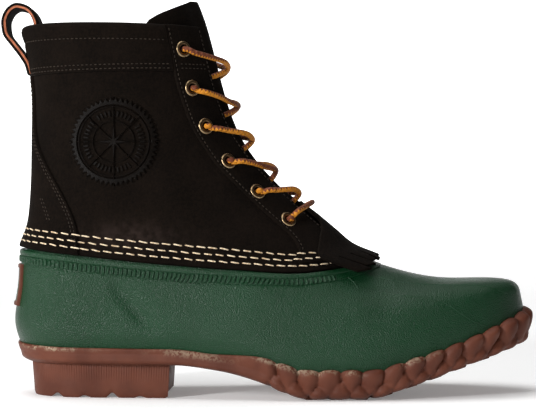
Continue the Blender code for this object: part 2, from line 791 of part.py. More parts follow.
def make_lug(n, rubber):
    """Helper: one zigzag bar of the tread, from side to side under the forefoot."""
    middle = LUG_FIRST + LUG_PITCH * n
    columns = np.linspace(0.0, 1.0, RING_SAMPLES)

    def edge(side):
        ring = np.array([last.point(side * s, 0.0) for s in columns])
        front = ring[RING_SAMPLES // 3 :]
        return float(np.interp(middle, front[:, 0], front[:, 1]))

    outer_y, inner_y = edge(LATERAL), edge(MEDIAL)
    trim = RIM_WIDTH * 0.9
    stations = np.linspace(outer_y + trim, inner_y - trim, 6)
    sections = []
    for k, y in enumerate(stations):
        x = middle + LUG_WAVE * (1 if k % 2 else -1)
        back, front = x - LUG_WIDTH / 2, x + LUG_WIDTH / 2
        low_back, low_front = float(underside(back)), float(underside(front))
        rise = LUG_DEPTH + LUG_SINK
        sections.append(
            [
                (back, y, low_back),
                (front, y, low_front),
                (front, y, low_front + rise),
                (back, y, low_back + rise),
            ]
        )
    return loft(f"lug_{n + 1}", sections, rubber)


def make_heel(rubber):
    """Heel block: tapered a little to the floor, with rounded bars across its foot and a hollow breast."""
    columns = np.linspace(0.0, 1.0, RING_SAMPLES)
    rings = {
        side: np.array([last.point(side * s, 0.0) for s in columns]) for side in (LATERAL, MEDIAL)
    }
    back = rings[MEDIAL][0][0] + HEEL_INSET
    pitch = (HEEL_FRONT - back) / HEEL_LUGS
    shares = [0.0, 0.02, 0.06, 0.14, 0.28, 0.50, 0.76, 0.90]
    for lug in range(1, HEEL_LUGS):
        shares += [lug, lug + 0.10, lug + 0.24, lug + 0.76, lug + 0.90]
    shares += [HEEL_LUGS]
    stations = [back + pitch * share for share in shares]
    sections = []
    for x, share in zip(stations, shares):
        phase = share % 1.0
        near = min(phase, 1 - phase)
        rise = HEEL_GROOVE * (1 - float(ease(near / 0.24))) if 0 < share < HEEL_LUGS else 0.0
        along = (x - back) / (HEEL_FRONT - back)
        width = {}
        for side in (LATERAL, MEDIAL):
            edge = float(np.interp(x - HEEL_INSET * (1 - along), rings[side][:, 0], rings[side][:, 1]))
            width[side] = side * max(abs(edge) * HEEL_SHARE, 0.05 * HEEL_WIDTH)
        top = HEEL_LIFT - GAP
        hollow = BREAST_HOLLOW * float(ease((along - 0.8) / 0.2))
        section = []
        for z, taper in ((rise, HEEL_TAPER), (top, 0.0)):
            row = [
                (x + taper * (1 - 2 * along), width[LATERAL] + taper, z),
                (x + taper * (1 - 2 * along) - hollow, 0.5 * width[LATERAL], z),
                (x + taper * (1 - 2 * along) - hollow, 0.5 * width[MEDIAL], z),
                (x + taper * (1 - 2 * along), width[MEDIAL] - taper, z),
            ]
            section += row if z == rise else row[::-1]
        sections.append(section)
    return loft("heel", sections, rubber)


def make_insole(fabric):
    """Footbed inside the shell, on the plate."""
    inset = SHELL_WALL + 2 * GAP
    columns = ring_columns(40)
    bm = bmesh.new()
    rings = []
    for u in columns:
        edge = last.point(u, 0.0)
        out = last.normal(u, 0.3) * np.array([1.0, 1.0, 0.0])
        edge = edge - out / np.linalg.norm(out) * inset
        low = float(seat(edge[0])) + INSOLE_LIFT
        rings.append(
            [bm.verts.new((edge[0], edge[1], low)), bm.verts.new((edge[0], edge[1], low + INSOLE))]
        )
    count, half = len(rings), len(rings) // 2
    for c in range(count):
        here, there = rings[c], rings[(c + 1) % count]
        bm.faces.new([here[0], there[0], there[1], here[1]])
    for k in (0, 1):
        bm.faces.new([rings[0][k], rings[1][k], rings[count - 1][k]])
        for c in range(1, half - 1):
            bm.faces.new(
                [rings[c][k], rings[c + 1][k], rings[count - c - 1][k], rings[count - c][k]]
            )
        bm.faces.new([rings[half - 1][k], rings[half][k], rings[half + 1][k]])
    return finish("insole", bm, fabric)


def make_eyelet(name, u, v, brass):
    """Brass eyelet: flange on the lace stay and a barrel through both leathers."""
    seat_height = OVERLAY_GAP + OVERLAY + 2 * GAP
    low = -LEATHER - GAP
    profile = (
        (EYELET_BORE, low),
        (EYELET_BARREL, low),
        (EYELET_BARREL, seat_height),
        (EYELET_FLANGE, seat_height),
        (EYELET_BORE, seat_height + EYELET_RISE),
    )
    place = last.point(u, v)
    turn = Vector(last.normal(u, v)).to_track_quat("Z", "Y").to_matrix()
    sections = []
    segments = 8
    for k in range(segments):
        a = 2 * math.pi * k / segments
        sections.append(
            [
                place + np.array(turn @ Vector((r * math.cos(a), r * math.sin(a), z)))
                for r, z in profile
            ]
        )
    return loft(name, sections, brass, closed_path=True)


def tube_rings(path, radius, sides):
    """Rings of points round a path."""
    path = [Vector(p) for p in path]
    rings = []
    for k, here in enumerate(path):
        along = path[min(k + 1, len(path) - 1)] - path[max(k - 1, 0)]
        turn = along.to_track_quat("Z", "Y").to_matrix()
        ring = []
        for n in range(sides):
            a = 2 * math.pi * n / sides
            ring.append(here + turn @ Vector((radius * math.cos(a), radius * math.sin(a), 0.0)))
        rings.append(ring)
    return rings


def lace_strand(side, v_start, v_end, lift, standoff, far=None, fall=0.0, rise=0.0):
    """Path from beside an eyelet on one side, over the throat, to the other side: as far out again, or to a
    share of the throat's half width, where it has come down by a fall."""
    path = []
    for t in np.linspace(0.0, 1.0, LACE_STATIONS):
        crown = math.sin(math.pi * t)
        v = v_start + (v_end - v_start) * t + rise * crown
        near = throat_half(v) + EYELET_SETBACK - EYELET_FLANGE - LACE_DIAMETER
        end = near if far is None else throat_half(v) * far
        arc = near - (near + end) * t
        u = side * (1 - abs(arc) / last.half_length(side, v))
        if arc < 0:
            u = -u
        path.append(last.off(u, v, lift - fall * t + standoff * crown))
    return path


def make_lace(spots, lace_material):
    """The lace where it shows over the throat: a crossing for each step between eyelets, and a bar."""
    levels = [v for name, _, v in spots if "outer" in name]
    radius = LACE_DIAMETER / 2
    lift = OVERLAY_GAP + OVERLAY + GAP + radius
    made = []
    for k in range(EYELETS_PER_SIDE - 1):
        lowest = k == EYELETS_PER_SIDE - 2
        start = levels[k] - 0.03
        reach = LOWEST_CROSSING_REACH if lowest else CROSSING_REACH
        stop = start + (levels[k + 1] - start) * reach
        fall = -KILTIE_CLEAR if lowest else OVERLAY_GAP + OVERLAY
        strands = []
        for side, word in ((LATERAL, "crossing"), (MEDIAL, "helper")):
            path = lace_strand(side, start, stop, lift, LACE_STANDOFF, far=LACE_TUCK, fall=fall)
            strands.append(loft(f"lace_{word}_{k + 1}", tube_rings(path, radius, 6), lace_material))
        join(strands[0], strands[1])
        made.append(strands[0])
    over_kiltie = float(kiltie_lift(levels[-1])) + KILTIE_THICKNESS + 2 * GAP + radius
    bar = lace_strand(LATERAL, levels[-1], levels[-1], over_kiltie, BAR_STANDOFF, rise=BAR_RISE)
    made.append(loft("lace_bar", tube_rings(bar, radius, 6), lace_material))
    return made


def make_patch(rubber):
    """Plain label on the back of the shell."""
    low = last.climb(0.0, PATCH_LEVEL, -PATCH_HEIGHT / 2)
    high = last.climb(0.0, PATCH_LEVEL, PATCH_HEIGHT / 2)
    outer, inner = [], []
    levels = np.linspace(low, high, 3)
    columns = 7
    for v in levels:
        for t in np.linspace(-1.0, 1.0, columns):
            side = LATERAL if t < 0 else MEDIAL
            u = side * abs(t) * PATCH_WIDTH / 2 / last.half_length(side, v)
            outer.append(last.off(u, v, OVERLAY_GAP + PATCH_THICKNESS))
            inner.append(last.off(u, v, OVERLAY_GAP))
    return wall("heel_patch", outer, inner, grid_cells(len(levels), columns), rubber)


def make_pull_loop(leather):
    """Pull loop: a folded strap from the back seam over the collar to the inside."""
    x = [p[0] * LENGTH for p in PULL_LOOP]
    z = [p[1] * COLLAR_HEIGHT for p in PULL_LOOP]
    knots = np.arange(len(x), dtype=float)
    fine = np.linspace(0, len(x) - 1, 24)
    centre = np.stack([spline_through(knots, x)(fine), spline_through(knots, z)(fine)], axis=1)
    along = np.gradient(centre, axis=0)
    along = along / np.linalg.norm(along, axis=1)[:, None]
    side = np.stack([-along[:, 1], along[:, 0]], axis=1) * STRAP_THICKNESS / 2
    sections = []
    for c, n in zip(centre, side):
        sections.append(
            [
                (c[0] + n[0], -STRAP_WIDTH / 2, c[1] + n[1]),
                (c[0] + n[0], STRAP_WIDTH / 2, c[1] + n[1]),
                (c[0] - n[0], STRAP_WIDTH / 2, c[1] - n[1]),
                (c[0] - n[0], -STRAP_WIDTH / 2, c[1] - n[1]),
            ]
        )
    return loft("pull_loop", sections, leather)


def main():
    """Clears the scene and builds the boot."""
    for obj in list(bpy.data.objects):
        bpy.data.objects.remove(obj)
    green = material("green rubber", (0.030, 0.085, 0.042), 0.45)
    brown = material("brown rubber", (0.125, 0.050, 0.032), 0.6)
    leather = material("dark brown leather", (0.012, 0.009, 0.007), 0.85)
    lining = material("grey felt", (0.12, 0.11, 0.10), 0.95)
    brass = material("aged brass", (0.45, 0.33, 0.17), 0.35, 1.0)
    lace = material("ochre lace", (0.50, 0.24, 0.02), 0.7)
    make_outsole(brown)
    make_heel(brown)
    make_shell(green)
    make_shaft(leather)
    make_cuff(leather)
    make_eyestay(LATERAL, "outer", leather)
    make_eyestay(MEDIAL, "inner", leather)
    make_backstay(leather)
    make_tongue(leather)
    make_kiltie(leather)
    make_insole(lining)
    make_patch(brown)
    make_pull_loop(leather)
    spots = eyelet_spots()
    for name, u, v in spots:
        make_eyelet(name, u, v, brass)
    make_lace(spots, lace)


main()
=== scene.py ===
"""The looks of a duck boot: pebbled green rubber lower, brown nubuck shaft and a lugged brown rubber sole.

Metres, +Z up, +X to the toe, +Y to the inner side. Each sub-assembly is a class that holds its sizes, builds
its meshes on the boot's last and dresses them. It is a right boot, seen from its outer side.
"""

import logging
import math
from dataclasses import dataclass, field
from enum import Enum
from typing import Callable, NamedTuple

import bmesh
import bpy
import numpy as np
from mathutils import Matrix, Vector


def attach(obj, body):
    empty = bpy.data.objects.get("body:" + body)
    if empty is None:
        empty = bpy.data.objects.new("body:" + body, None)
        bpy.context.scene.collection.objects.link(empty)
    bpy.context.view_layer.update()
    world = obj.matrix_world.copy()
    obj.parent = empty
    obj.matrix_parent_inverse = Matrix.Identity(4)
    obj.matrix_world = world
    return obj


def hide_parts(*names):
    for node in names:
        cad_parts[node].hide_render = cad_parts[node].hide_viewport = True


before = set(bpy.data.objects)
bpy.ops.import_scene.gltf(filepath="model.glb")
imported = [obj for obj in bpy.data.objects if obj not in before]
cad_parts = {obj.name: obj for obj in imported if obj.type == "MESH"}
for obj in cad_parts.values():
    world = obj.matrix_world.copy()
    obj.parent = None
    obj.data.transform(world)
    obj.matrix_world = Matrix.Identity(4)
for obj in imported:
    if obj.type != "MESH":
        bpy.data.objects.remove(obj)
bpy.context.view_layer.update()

LOG = logging.getLogger("duck_boot")
Array = np.ndarray
Colour = tuple[float, float, float]
Knots = list[tuple[float, float, float]]
Places = list[tuple[Array, Array, Array, Array]]
Piece = bpy.types.Object
Material = bpy.types.Material
Socket = bpy.types.NodeSocket


class Side(Enum):
    """Side of the boot, by the sign of u and of y."""

    OUTER = -1
    INNER = 1


class Slot(Enum):
    """Material slots of the record."""

    GREEN = "green_rubber"
    BROWN = "brown_rubber"
    LEATHER = "leather"
    LINING = "lining"
    BRASS = "aged_brass"
    LACE = "lace"


# ---------------------------------------------------------------- the last


class Level(NamedTuple):
    """One ring round the boot, in shares of the boot's length, heights and widths."""

    name: str
    back: float
    back_rise: float
    front: float
    front_rise: float
    follow: float
    sag: float
    heel_half: float
    ball_half: float
    back_end: float
    front_end: float
    front_power: float
    waist: float
    swing: float


LEVELS = (
    Level("feather", 0.017, 0.001, 0.982, 0.004, 1.00, 0.000, 0.430, 0.445, 0.13, 0.34, 2.15, 0.050, 0.060),
    Level("bulge", 0.002, 0.071, 0.997, 0.053, 0.90, 0.000, 0.490, 0.490, 0.13, 0.35, 2.15, 0.030, 0.060),
    Level("wall", 0.002, 0.130, 0.993, 0.110, 0.80, 0.000, 0.500, 0.485, 0.14, 0.36, 2.15, 0.022, 0.060),
    Level("shoulder", 0.008, 0.183, 0.973, 0.167, 0.70, 0.000, 0.500, 0.463, 0.14, 0.37, 2.15, 0.016, 0.058),
    Level("toe top", 0.011, 0.226, 0.893, 0.216, 0.60, 0.000, 0.495, 0.440, 0.14, 0.38, 2.15, 0.010, 0.048),
    Level("vamp", 0.012, 0.273, 0.800, 0.275, 0.50, 0.010, 0.490, 0.418, 0.15, 0.38, 2.15, 0.008, 0.034),
    Level("hem", 0.0135, 0.321, 0.690, 0.380, 0.20, 0.042, 0.485, 0.398, 0.17, 0.36, 2.10, 0.006, 0.018),
    Level("throat", 0.027, 0.380, 0.632, 0.449, 0.10, 0.030, 0.468, 0.368, 0.23, 0.42, 1.90, 0.004, 0.008),
    Level("instep", 0.034, 0.460, 0.560, 0.545, 0.00, 0.016, 0.452, 0.345, 0.32, 0.46, 1.75, 0.000, 0.000),
    Level("ankle", 0.037, 0.564, 0.480, 0.627, 0.00, 0.006, 0.445, 0.338, 0.40, 0.50, 1.70, 0.000, 0.000),
    Level("low leg", 0.038, 0.687, 0.433, 0.725, 0.00, 0.000, 0.458, 0.345, 0.46, 0.52, 1.70, 0.000, 0.000),
    Level("leg", 0.036, 0.830, 0.404, 0.858, 0.00, 0.000, 0.500, 0.372, 0.50, 0.50, 1.75, 0.000, 0.000),
    Level("collar", 0.018, 1.000, 0.379, 1.005, 0.00, 0.000, 0.545, 0.404, 0.50, 0.50, 1.80, 0.000, 0.000),
    Level("top edge", 0.006, 1.096, 0.357, 1.096, 0.00, 0.000, 0.560, 0.414, 0.50, 0.50, 1.80, 0.000, 0.000),
)


def curve_through(stations: tuple[float, ...], values: tuple[float, ...], where: Array) -> Array:
    """Reads a smooth curve that never passes a neighbour's height.

    Args:
        stations: Where the curve's heights are given, rising.
        values: The heights there.
        where: Where to read it.

    Returns:
        The curve's heights.
    """
    x, y = np.asarray(stations, float), np.asarray(values, float)
    steps = np.diff(x)
    slopes = np.diff(y) / steps
    tangents = np.zeros(len(x))
    tangents[0], tangents[-1] = slopes[0], slopes[-1]
    for i in range(1, len(x) - 1):
        if slopes[i - 1] * slopes[i] > 0:
            tangents[i] = 2 / (1 / slopes[i - 1] + 1 / slopes[i])
    where = np.clip(np.asarray(where, float), x[0], x[-1])
    i = np.clip(np.searchsorted(x, where, side="right") - 1, 0, len(steps) - 1)
    t = (where - x[i]) / steps[i]
    first = (1 + 2 * t) * (1 - t) ** 2 * y[i] + t * (1 - t) ** 2 * steps[i] * tangents[i]
    second = t * t * (3 - 2 * t) * y[i + 1] - t * t * (1 - t) * steps[i] * tangents[i + 1]
    return first + second


def ease(t: Array | float) -> Array:
    """Goes smoothly from 0 to 1."""
    t = np.clip(t, 0.0, 1.0)
    return t * t * (3 - 2 * t)


def unit(vectors: Array) -> Array:
    """Vectors of length one along the last axis."""
    return vectors / np.maximum(np.linalg.norm(vectors, axis=-1, keepdims=True), 1e-12)


def read_path(path: Array, run: Array, where: Array) -> Array:
    """Points of a path at given lengths, where run is the length up to each of its own points."""
    return np.stack([np.interp(where, run, path[:, k]) for k in range(3)], axis=1)


def even_out(rows: Array, times: int) -> None:
    """Smooths rows of values in place, and keeps the first and last."""
    for _ in range(times):
        rows[1:-1] = (rows[:-2] + 2 * rows[1:-1] + rows[2:]) / 4


def paired(u: Array | float, v: Array | float) -> tuple[Array, Array]:
    """Gives u and v one shape."""
    return tuple(np.array(each, float) for each in np.broadcast_arrays(u, v))


@dataclass(frozen=True)
class Crease:
    """A soft trough (negative depth) or ridge, along a line seen from the side.

    Its ends are given as x and z on the boot, in metres.
    """

    start: tuple[float, float]
    end: tuple[float, float]
    half_width: float
    depth: float
    side: Side | None = None

    def depth_at(self, points: Array) -> Array:
        """Height of the crease at points on the boot.

        Args:
            points: Points of the surface, in metres.

        Returns:
            The height out of the surface at each point.
        """
        a, b = np.array(self.start), np.array(self.end)
        flat = points[..., [0, 2]]
        run = b - a
        share = np.clip(((flat - a) @ run) / (run @ run), 0, 1)
        away = np.linalg.norm(flat - (a + share[..., None] * run), axis=-1)
        height = self.depth * np.exp(-((away / self.half_width) ** 2))
        height = height * ease(3.5 * share * (1 - share) + 0.12)
        if self.side is not None:
            height = height * ease(points[..., 1] * self.side.value / 0.012)
        return height


@dataclass
class Last:
    """The outer surface of the boot.

    u runs round it, 0 at the back and 1 or -1 at the front, positive on the inner side. v counts levels.
    """

    length: float = 0.300
    heel_width: float = 0.077
    ball_width: float = 0.104
    collar_height: float = 0.214
    heel_centre: float = 0.052
    heel_lift: float = 0.0185
    toe_spring: float = 0.0300
    sole_plate: float = 0.0070
    samples: int = 361
    hem_level: float = 6.0
    collar_level: float = 12.0
    creases: tuple[Crease, ...] = ()
    rings: Array = field(init=False, repr=False)
    curves: Array = field(init=False, repr=False)
    lengths: Array = field(init=False, repr=False)
    arcs: Array = field(init=False, repr=False)
    fine: Array = field(init=False, repr=False)

    def __post_init__(self) -> None:
        """Works out the level rings and the lengths up the surface."""
        # The surface between the rings is a natural cubic spline, given by its heights and second derivatives.
        count = len(LEVELS)
        bend = np.diag(np.full(count, 4.0)) + np.eye(count, k=1) + np.eye(count, k=-1)
        bend[0], bend[-1] = np.eye(count)[0], np.eye(count)[-1]
        rings, curves, lengths = [], [], []
        for side in (Side.OUTER, Side.INNER):
            made = [self.half_ring(level, side) for level in LEVELS]
            stack = np.array([ring for ring, _ in made])
            pull = np.zeros_like(stack)
            pull[1:-1] = 6 * (stack[2:] - 2 * stack[1:-1] + stack[:-2])
            curves.append(np.linalg.solve(bend, pull.reshape(count, -1)).reshape(stack.shape))
            rings.append(stack)
            lengths.append([length for _, length in made])
        self.rings, self.curves, self.lengths = np.array(rings), np.array(curves), np.array(lengths)
        self.fine = np.linspace(0, count - 1, 24 * (count - 1) + 1)
        us = np.linspace(0, 1, self.samples)
        self.arcs = np.array(
            [
                self.run_up(self.point(side.value * us[None, :], self.fine[:, None]))
                for side in (Side.OUTER, Side.INNER)
            ]
        )

    @staticmethod
    def run_up(points: Array) -> Array:
        """Length along the first axis, from its start."""
        steps = np.linalg.norm(np.diff(points, axis=0), axis=-1)
        return np.concatenate([np.zeros((1, *steps.shape[1:])), np.cumsum(steps, axis=0)])

    def underside(self, x: Array) -> Array:
        """Height of the sole's underside.

        Args:
            x: Places along the boot.

        Returns:
            The heights there.
        """
        along = (np.asarray(x) + self.heel_centre) / self.length
        stations = (0.00, 0.31, 0.40, 0.47, 0.540, 0.570, 0.680, 0.76, 0.88, 1.00)
        heel = np.array((1.0, 1.0, 0.84, 0.55, 0.11, 0.0, 0.0, 0.0, 0.0, 0.0)) * self.heel_lift
        toe = np.array((0.0, 0.0, 0.0, 0.0, 0.0, 0.0, 0.0, 0.21, 0.61, 1.0)) * self.toe_spring
        return curve_through(stations, tuple(heel + toe), along)

    def seat(self, x: Array) -> Array:
        """Height of the top of the sole plate at x."""
        return self.underside(x) + self.sole_plate

    def half_ring(self, level: Level, side: Side) -> tuple[Array, float]:
        """Makes one half of a level ring.

        Args:
            level: The ring's shares.
            side: Which half.

        Returns:
            Its evenly spaced points from back to front, and its length.
        """
        a = (1 - np.cos(np.linspace(0.0, math.pi, 4 * self.samples))) / 2
        upper = self.collar_height - self.heel_lift - self.sole_plate
        x_back = level.back * self.length - self.heel_centre
        x_front = level.front * self.length - self.heel_centre
        x = x_back + (x_front - x_back) * a
        heel, ball = level.heel_half * self.heel_width, level.ball_half * self.ball_width
        half = heel + (ball - heel) * ease(a / (0.60 if side is Side.OUTER else 0.68))
        pinch = np.exp(-(((a - 0.42) / 0.20) ** 2))
        half -= level.waist * self.ball_width * (0.25 if side is Side.OUTER else 1.0) * pinch
        near_back = np.clip(1 - a / level.back_end, 0, 1)
        near_front = np.clip(1 - (1 - a) / level.front_end, 0, 1)
        half *= (1 - near_back**2.2) ** (1 / 2.2)
        half *= (1 - near_front**level.front_power) ** (1 / level.front_power)
        centre = level.swing * self.ball_width * ease((a - 0.4) / 0.6)
        z_back = self.seat(x_back) + level.back_rise * upper
        z_front = self.seat(x_front) + level.front_rise * upper
        dip = self.seat(x) - (self.seat(x_back) + (self.seat(x_front) - self.seat(x_back)) * a)
        z = z_back + (z_front - z_back) * a + level.follow * dip
        z = z - level.sag * self.collar_height * np.sin(math.pi * a**1.4) ** 0.7
        points = np.stack([x, centre + side.value * half, z], axis=1)
        run = self.run_up(points)
        return read_path(points, run, np.linspace(0, run[-1], self.samples)), float(run[-1])

    def point(self, u: Array | float, v: Array | float) -> Array:
        """Points on the smooth surface.

        Args:
            u: Place round the boot.
            v: Level.

        Returns:
            The points, with a last axis of x, y and z.
        """
        u, v = paired(u, v)
        u = (u + 1.0) % 2.0 - 1.0
        side = (u >= 0).astype(int)
        column = np.abs(u) * (self.samples - 1)
        c = np.clip(column.astype(int), 0, self.samples - 2)
        t = (column - c)[..., None]
        i = np.clip(np.floor(v).astype(int), 0, len(LEVELS) - 2)
        b = (v - i)[..., None]
        a = 1 - b

        def at(col: Array) -> Array:
            """Points of the ring columns at these levels."""
            bent = (a**3 - a) * self.curves[side, i, col] + (b**3 - b) * self.curves[side, i + 1, col]
            return a * self.rings[side, i, col] + b * self.rings[side, i + 1, col] + bent / 6

        return at(c) * (1 - t) + at(c + 1) * t

    def normal(self, u: Array | float, v: Array | float) -> Array:
        """Outward normals of the smooth surface.

        Args:
            u: Place round the boot.
            v: Level.

        Returns:
            The normals.
        """
        u, v = paired(u, v)
        along = self.point(u + 0.012, v) - self.point(u - 0.012, v)
        top = len(LEVELS) - 1
        up = self.point(u, np.minimum(v + 0.04, top)) - self.point(u, np.maximum(v - 0.04, 0.0))
        return unit(np.cross(up, along))

    def off(self, u: Array | float, v: Array | float, distance: Array | float) -> Array:
        """Points off the creased surface.

        Args:
            u: Place round the boot.
            v: Level.
            distance: How far outside it, negative to go in.

        Returns:
            The points.
        """
        base, out = self.point(u, v), self.normal(u, v)
        height = np.asarray(distance, float) + sum((c.depth_at(base) for c in self.creases), 0.0)
        return base + out * height[..., None]

    def half_length(self, u: Array | float, v: Array | float) -> Array:
        """Lengths of the half rings, on the side of u.

        Args:
            u: Place round the boot.
            v: Level.

        Returns:
            The lengths.
        """
        u, v = paired(u, v)
        outer, inner = (np.interp(v, range(len(LEVELS)), each) for each in self.lengths)
        return np.where(u >= 0, inner, outer)

    def arc(self, u: Array, v: Array) -> Array:
        """Lengths up the surface from the feather edge.

        Args:
            u: Place round the boot.
            v: Level.

        Returns:
            The lengths.
        """
        u, v = paired(u, v)
        side = (u >= 0).astype(int)
        column = np.abs((u + 1.0) % 2.0 - 1.0) * (self.samples - 1)
        c = np.clip(column.astype(int), 0, self.samples - 2)
        row = np.clip(v, 0, len(LEVELS) - 1) * 24
        r = np.clip(row.astype(int), 0, len(self.fine) - 2)
        t, q = column - c, row - r
        low = self.arcs[side, r, c] * (1 - t) + self.arcs[side, r, c + 1] * t
        high = self.arcs[side, r + 1, c] * (1 - t) + self.arcs[side, r + 1, c + 1] * t
        return low * (1 - q) + high * q

    def climb(self, u: Array | float, v: Array | float, distance: Array | float) -> Array:
        """Finds the level reached by going up the surface.

        Args:
            u: Place round the boot.
            v: Level to start from.
            distance: How far to go up, or down where it is negative.

        Returns:
            The levels reached.
        """
        target = self.arc(u, v) + distance
        return self.halve(lambda middle: self.arc(u, middle) > target, target.shape, len(LEVELS) - 1.0, 24)

    @staticmethod
    def halve(over: Callable[[Array], Array], shape: tuple[int, ...], top: float, times: int) -> Array:
        """Finds levels by halving the range that holds them.

        Args:
            over: Tells which levels are too high.
            shape: The shape of the levels sought.
            top: The highest level looked at.
            times: How often the range is halved.

        Returns:
            The levels.
        """
        low, high = np.zeros(shape), np.full(shape, top)
        for _ in range(times):
            middle = (low + high) / 2
            past = over(middle)
            low, high = np.where(past, low, middle), np.where(past, middle, high)
        return (low + high) / 2

    def slopes(self, u: Array, v: Array) -> tuple[Array, Array, Array, Array]:
        """Finds how the surface runs at (u, v).

        Args:
            u: Place round the ring.
            v: Level.

        Returns:
            The direction along the ring, its length per u, and how far a level leans along the ring and rises
            square to it.
        """
        by_u = (self.point(u + 1e-4, v) - self.point(u - 1e-4, v)) / 2e-4
        by_v = (self.point(u, v + 1e-3) - self.point(u, v - 1e-3)) / 2e-3
        along = unit(by_u)
        lean = np.sum(by_v * along, axis=-1)
        rise = np.linalg.norm(by_v - lean[..., None] * along, axis=-1)
        return along, np.linalg.norm(by_u, axis=-1), lean, rise

    def slide(self, u: Array, v: Array | float, distance: Array | float) -> tuple[Array, Array]:
        """Moves points over the surface, square to the level lines.

        Args:
            u: Place round the ring.
            v: Level.
            distance: How far up they move.

        Returns:
            The new u and v.
        """
        u, v = paired(u, v)
        for _ in range(8):
            _, length, lean, rise = self.slopes(u, v)
            step = distance / 8 / rise
            u, v = u - lean * step / length, v + step
        return u, v

    def level_at(self, u: Array, height: Array, top: float = 4.0) -> Array:
        """Finds the level at which columns reach a height, low on the boot.

        Args:
            u: Place round the boot.
            height: The heights sought.
            top: The highest level looked at.

        Returns:
            The levels.
        """
        u, height = paired(u, height)
        return self.halve(lambda middle: self.point(u, middle)[..., 2] > height, u.shape, top, 22)

    def place(self, side: Side, x: float, z: float) -> tuple[float, float]:
        """Finds u and v of the surface's nearest place to x and z, seen from one side.

        Args:
            side: Which side of the boot.
            x: Along the boot.
            z: Height.

        Returns:
            u and v.
        """
        us, vs = np.linspace(0, 1, 401), np.linspace(0, 13, 521)
        seen = self.point(side.value * us[:, None], vs[None, :])
        away = np.hypot(seen[..., 0] - x, seen[..., 2] - z)
        i, j = np.unravel_index(np.argmin(away), away.shape)
        return float(side.value * us[i]), float(vs[j])


# ---------------------------------------------------------------- meshes


def grid_faces(rows: int, columns: int, closed: bool = False) -> Array:
    """Corner indices of a grid's cells.

    Args:
        rows: Rows of points.
        columns: Points in a row.
        closed: Whether the last column meets the first.

    Returns:
        An array with four indices for each cell.
    """
    spans = columns if closed else columns - 1
    r, c = np.meshgrid(np.arange(rows - 1), np.arange(spans), indexing="ij")
    d = (c + 1) % columns
    low, high = r * columns, (r + 1) * columns
    return np.stack([low + c, low + d, high + d, high + c], axis=-1).reshape(-1, 4)


def ring_cover(first: int, count: int) -> list[list[int]]:
    """Cells that cover a ring round the boot, from the back.

    Args:
        first: Index of the ring's first point.
        count: Its number of points, the second half mirroring the first.

    Returns:
        Corner indices of the cells.
    """
    half = count // 2
    cells = [[first, first + 1, first + count - 1]]
    for c in range(1, half - 1):
        cells.append([first + c, first + c + 1, first + count - c - 1, first + count - c])
    return [*cells, [first + half - 1, first + half, first + half + 1]]


def new_piece(name: str, points: Array, faces: list | Array, sharp: float = 50.0) -> Piece:
    """Makes a mesh piece from points and faces, facing outwards and shaded smooth.

    Args:
        name: The piece's name.
        points: Its points, in metres.
        faces: Corner indices of its faces.
        sharp: Angle in degrees past which an edge is shaded sharp.

    Returns:
        The piece.
    """
    mesh = bpy.data.meshes.new(name)
    mesh.from_pydata(np.asarray(points).reshape(-1, 3).tolist(), [], [list(map(int, f)) for f in faces])
    bm = bmesh.new()
    bm.from_mesh(mesh)
    bmesh.ops.recalc_face_normals(bm, faces=bm.faces)
    bm.to_mesh(mesh)
    bm.free()
    mesh.shade_smooth()
    mesh.set_sharp_from_angle(angle=math.radians(sharp))
    obj = bpy.data.objects.new(name, mesh)
    bpy.context.scene.collection.objects.link(obj)
    return obj


def wall_piece(
    name: str, outer: Array, inner: Array, faces: Array | None = None, closed: bool = False
) -> Piece:
    """Makes a closed wall between two sheets that share their cells.

    Args:
        name: The piece's name.
        outer: Points of the outer sheet, in rows and columns.
        inner: Points of the inner sheet.
        faces: The sheets' cells, where they aren't the whole grid.
        closed: Whether the last column meets the first.

    Returns:
        The piece.
    """
    rows, columns = outer.shape[:2]
    cells = grid_faces(rows, columns, closed) if faces is None else faces
    count = rows * columns
    edges = np.concatenate([cells[:, [0, 1]], cells[:, [1, 2]], cells[:, [2, 3]], cells[:, [3, 0]]])
    # An edge whose opposite isn't there lies on the sheets' rim.
    forward = edges[:, 0] * count + edges[:, 1]
    backward = edges[:, 1] * count + edges[:, 0]
    rim = edges[~np.isin(forward, backward)]
    rims = np.stack([rim[:, 1], rim[:, 0], rim[:, 0] + count, rim[:, 1] + count], axis=1)
    every = np.concatenate([cells, cells[:, ::-1] + count, rims])
    used = np.unique(every)
    index = np.zeros(2 * count, int)
    index[used] = np.arange(len(used))
    points = np.concatenate([outer.reshape(-1, 3), inner.reshape(-1, 3)])[used]
    return new_piece(name, points, index[every])


def bar_faces(rings: int, count: int, first: int = 0) -> list[list[int]]:
    """Faces of a capped solid through rings of points.

    Args:
        rings: How many rings.
        count: Points in a ring.
        first: Index of the first point.

    Returns:
        Corner indices of the faces.
    """
    end = first + rings * count
    caps = [list(range(first, first + count))[::-1], list(range(end - count, end))]
    return (grid_faces(rings, count, closed=True) + first).tolist() + caps


def ring_piece(name: str, sections: Array, sharp: float = 50.0) -> Piece:
    """Makes a capped piece through rings, given with axes ring, point and xyz."""
    return new_piece(name, sections, bar_faces(*sections.shape[:2]), sharp)


def lines_across(total: Array, marks: tuple[float, ...], inside: int) -> Array:
    """Distances across a panel, close together near its two edges.

    Args:
        total: The panel's width at each row.
        marks: Distances of the close lines from each edge.
        inside: How many lines lie between them.

    Returns:
        Distances from the first edge, for each row.
    """
    total = np.atleast_1d(np.asarray(total, float))
    fit = np.minimum(1.0, total / (2.6 * marks[-1]))
    near = np.array(marks)[None, :] * fit[:, None]
    share = np.linspace(0, 1, inside + 2)[1:-1]
    low, high = near[:, -1:], total[:, None] - near[:, -1:]
    return np.concatenate([near, low + (high - low) * share, total[:, None] - near[:, ::-1]], axis=1)


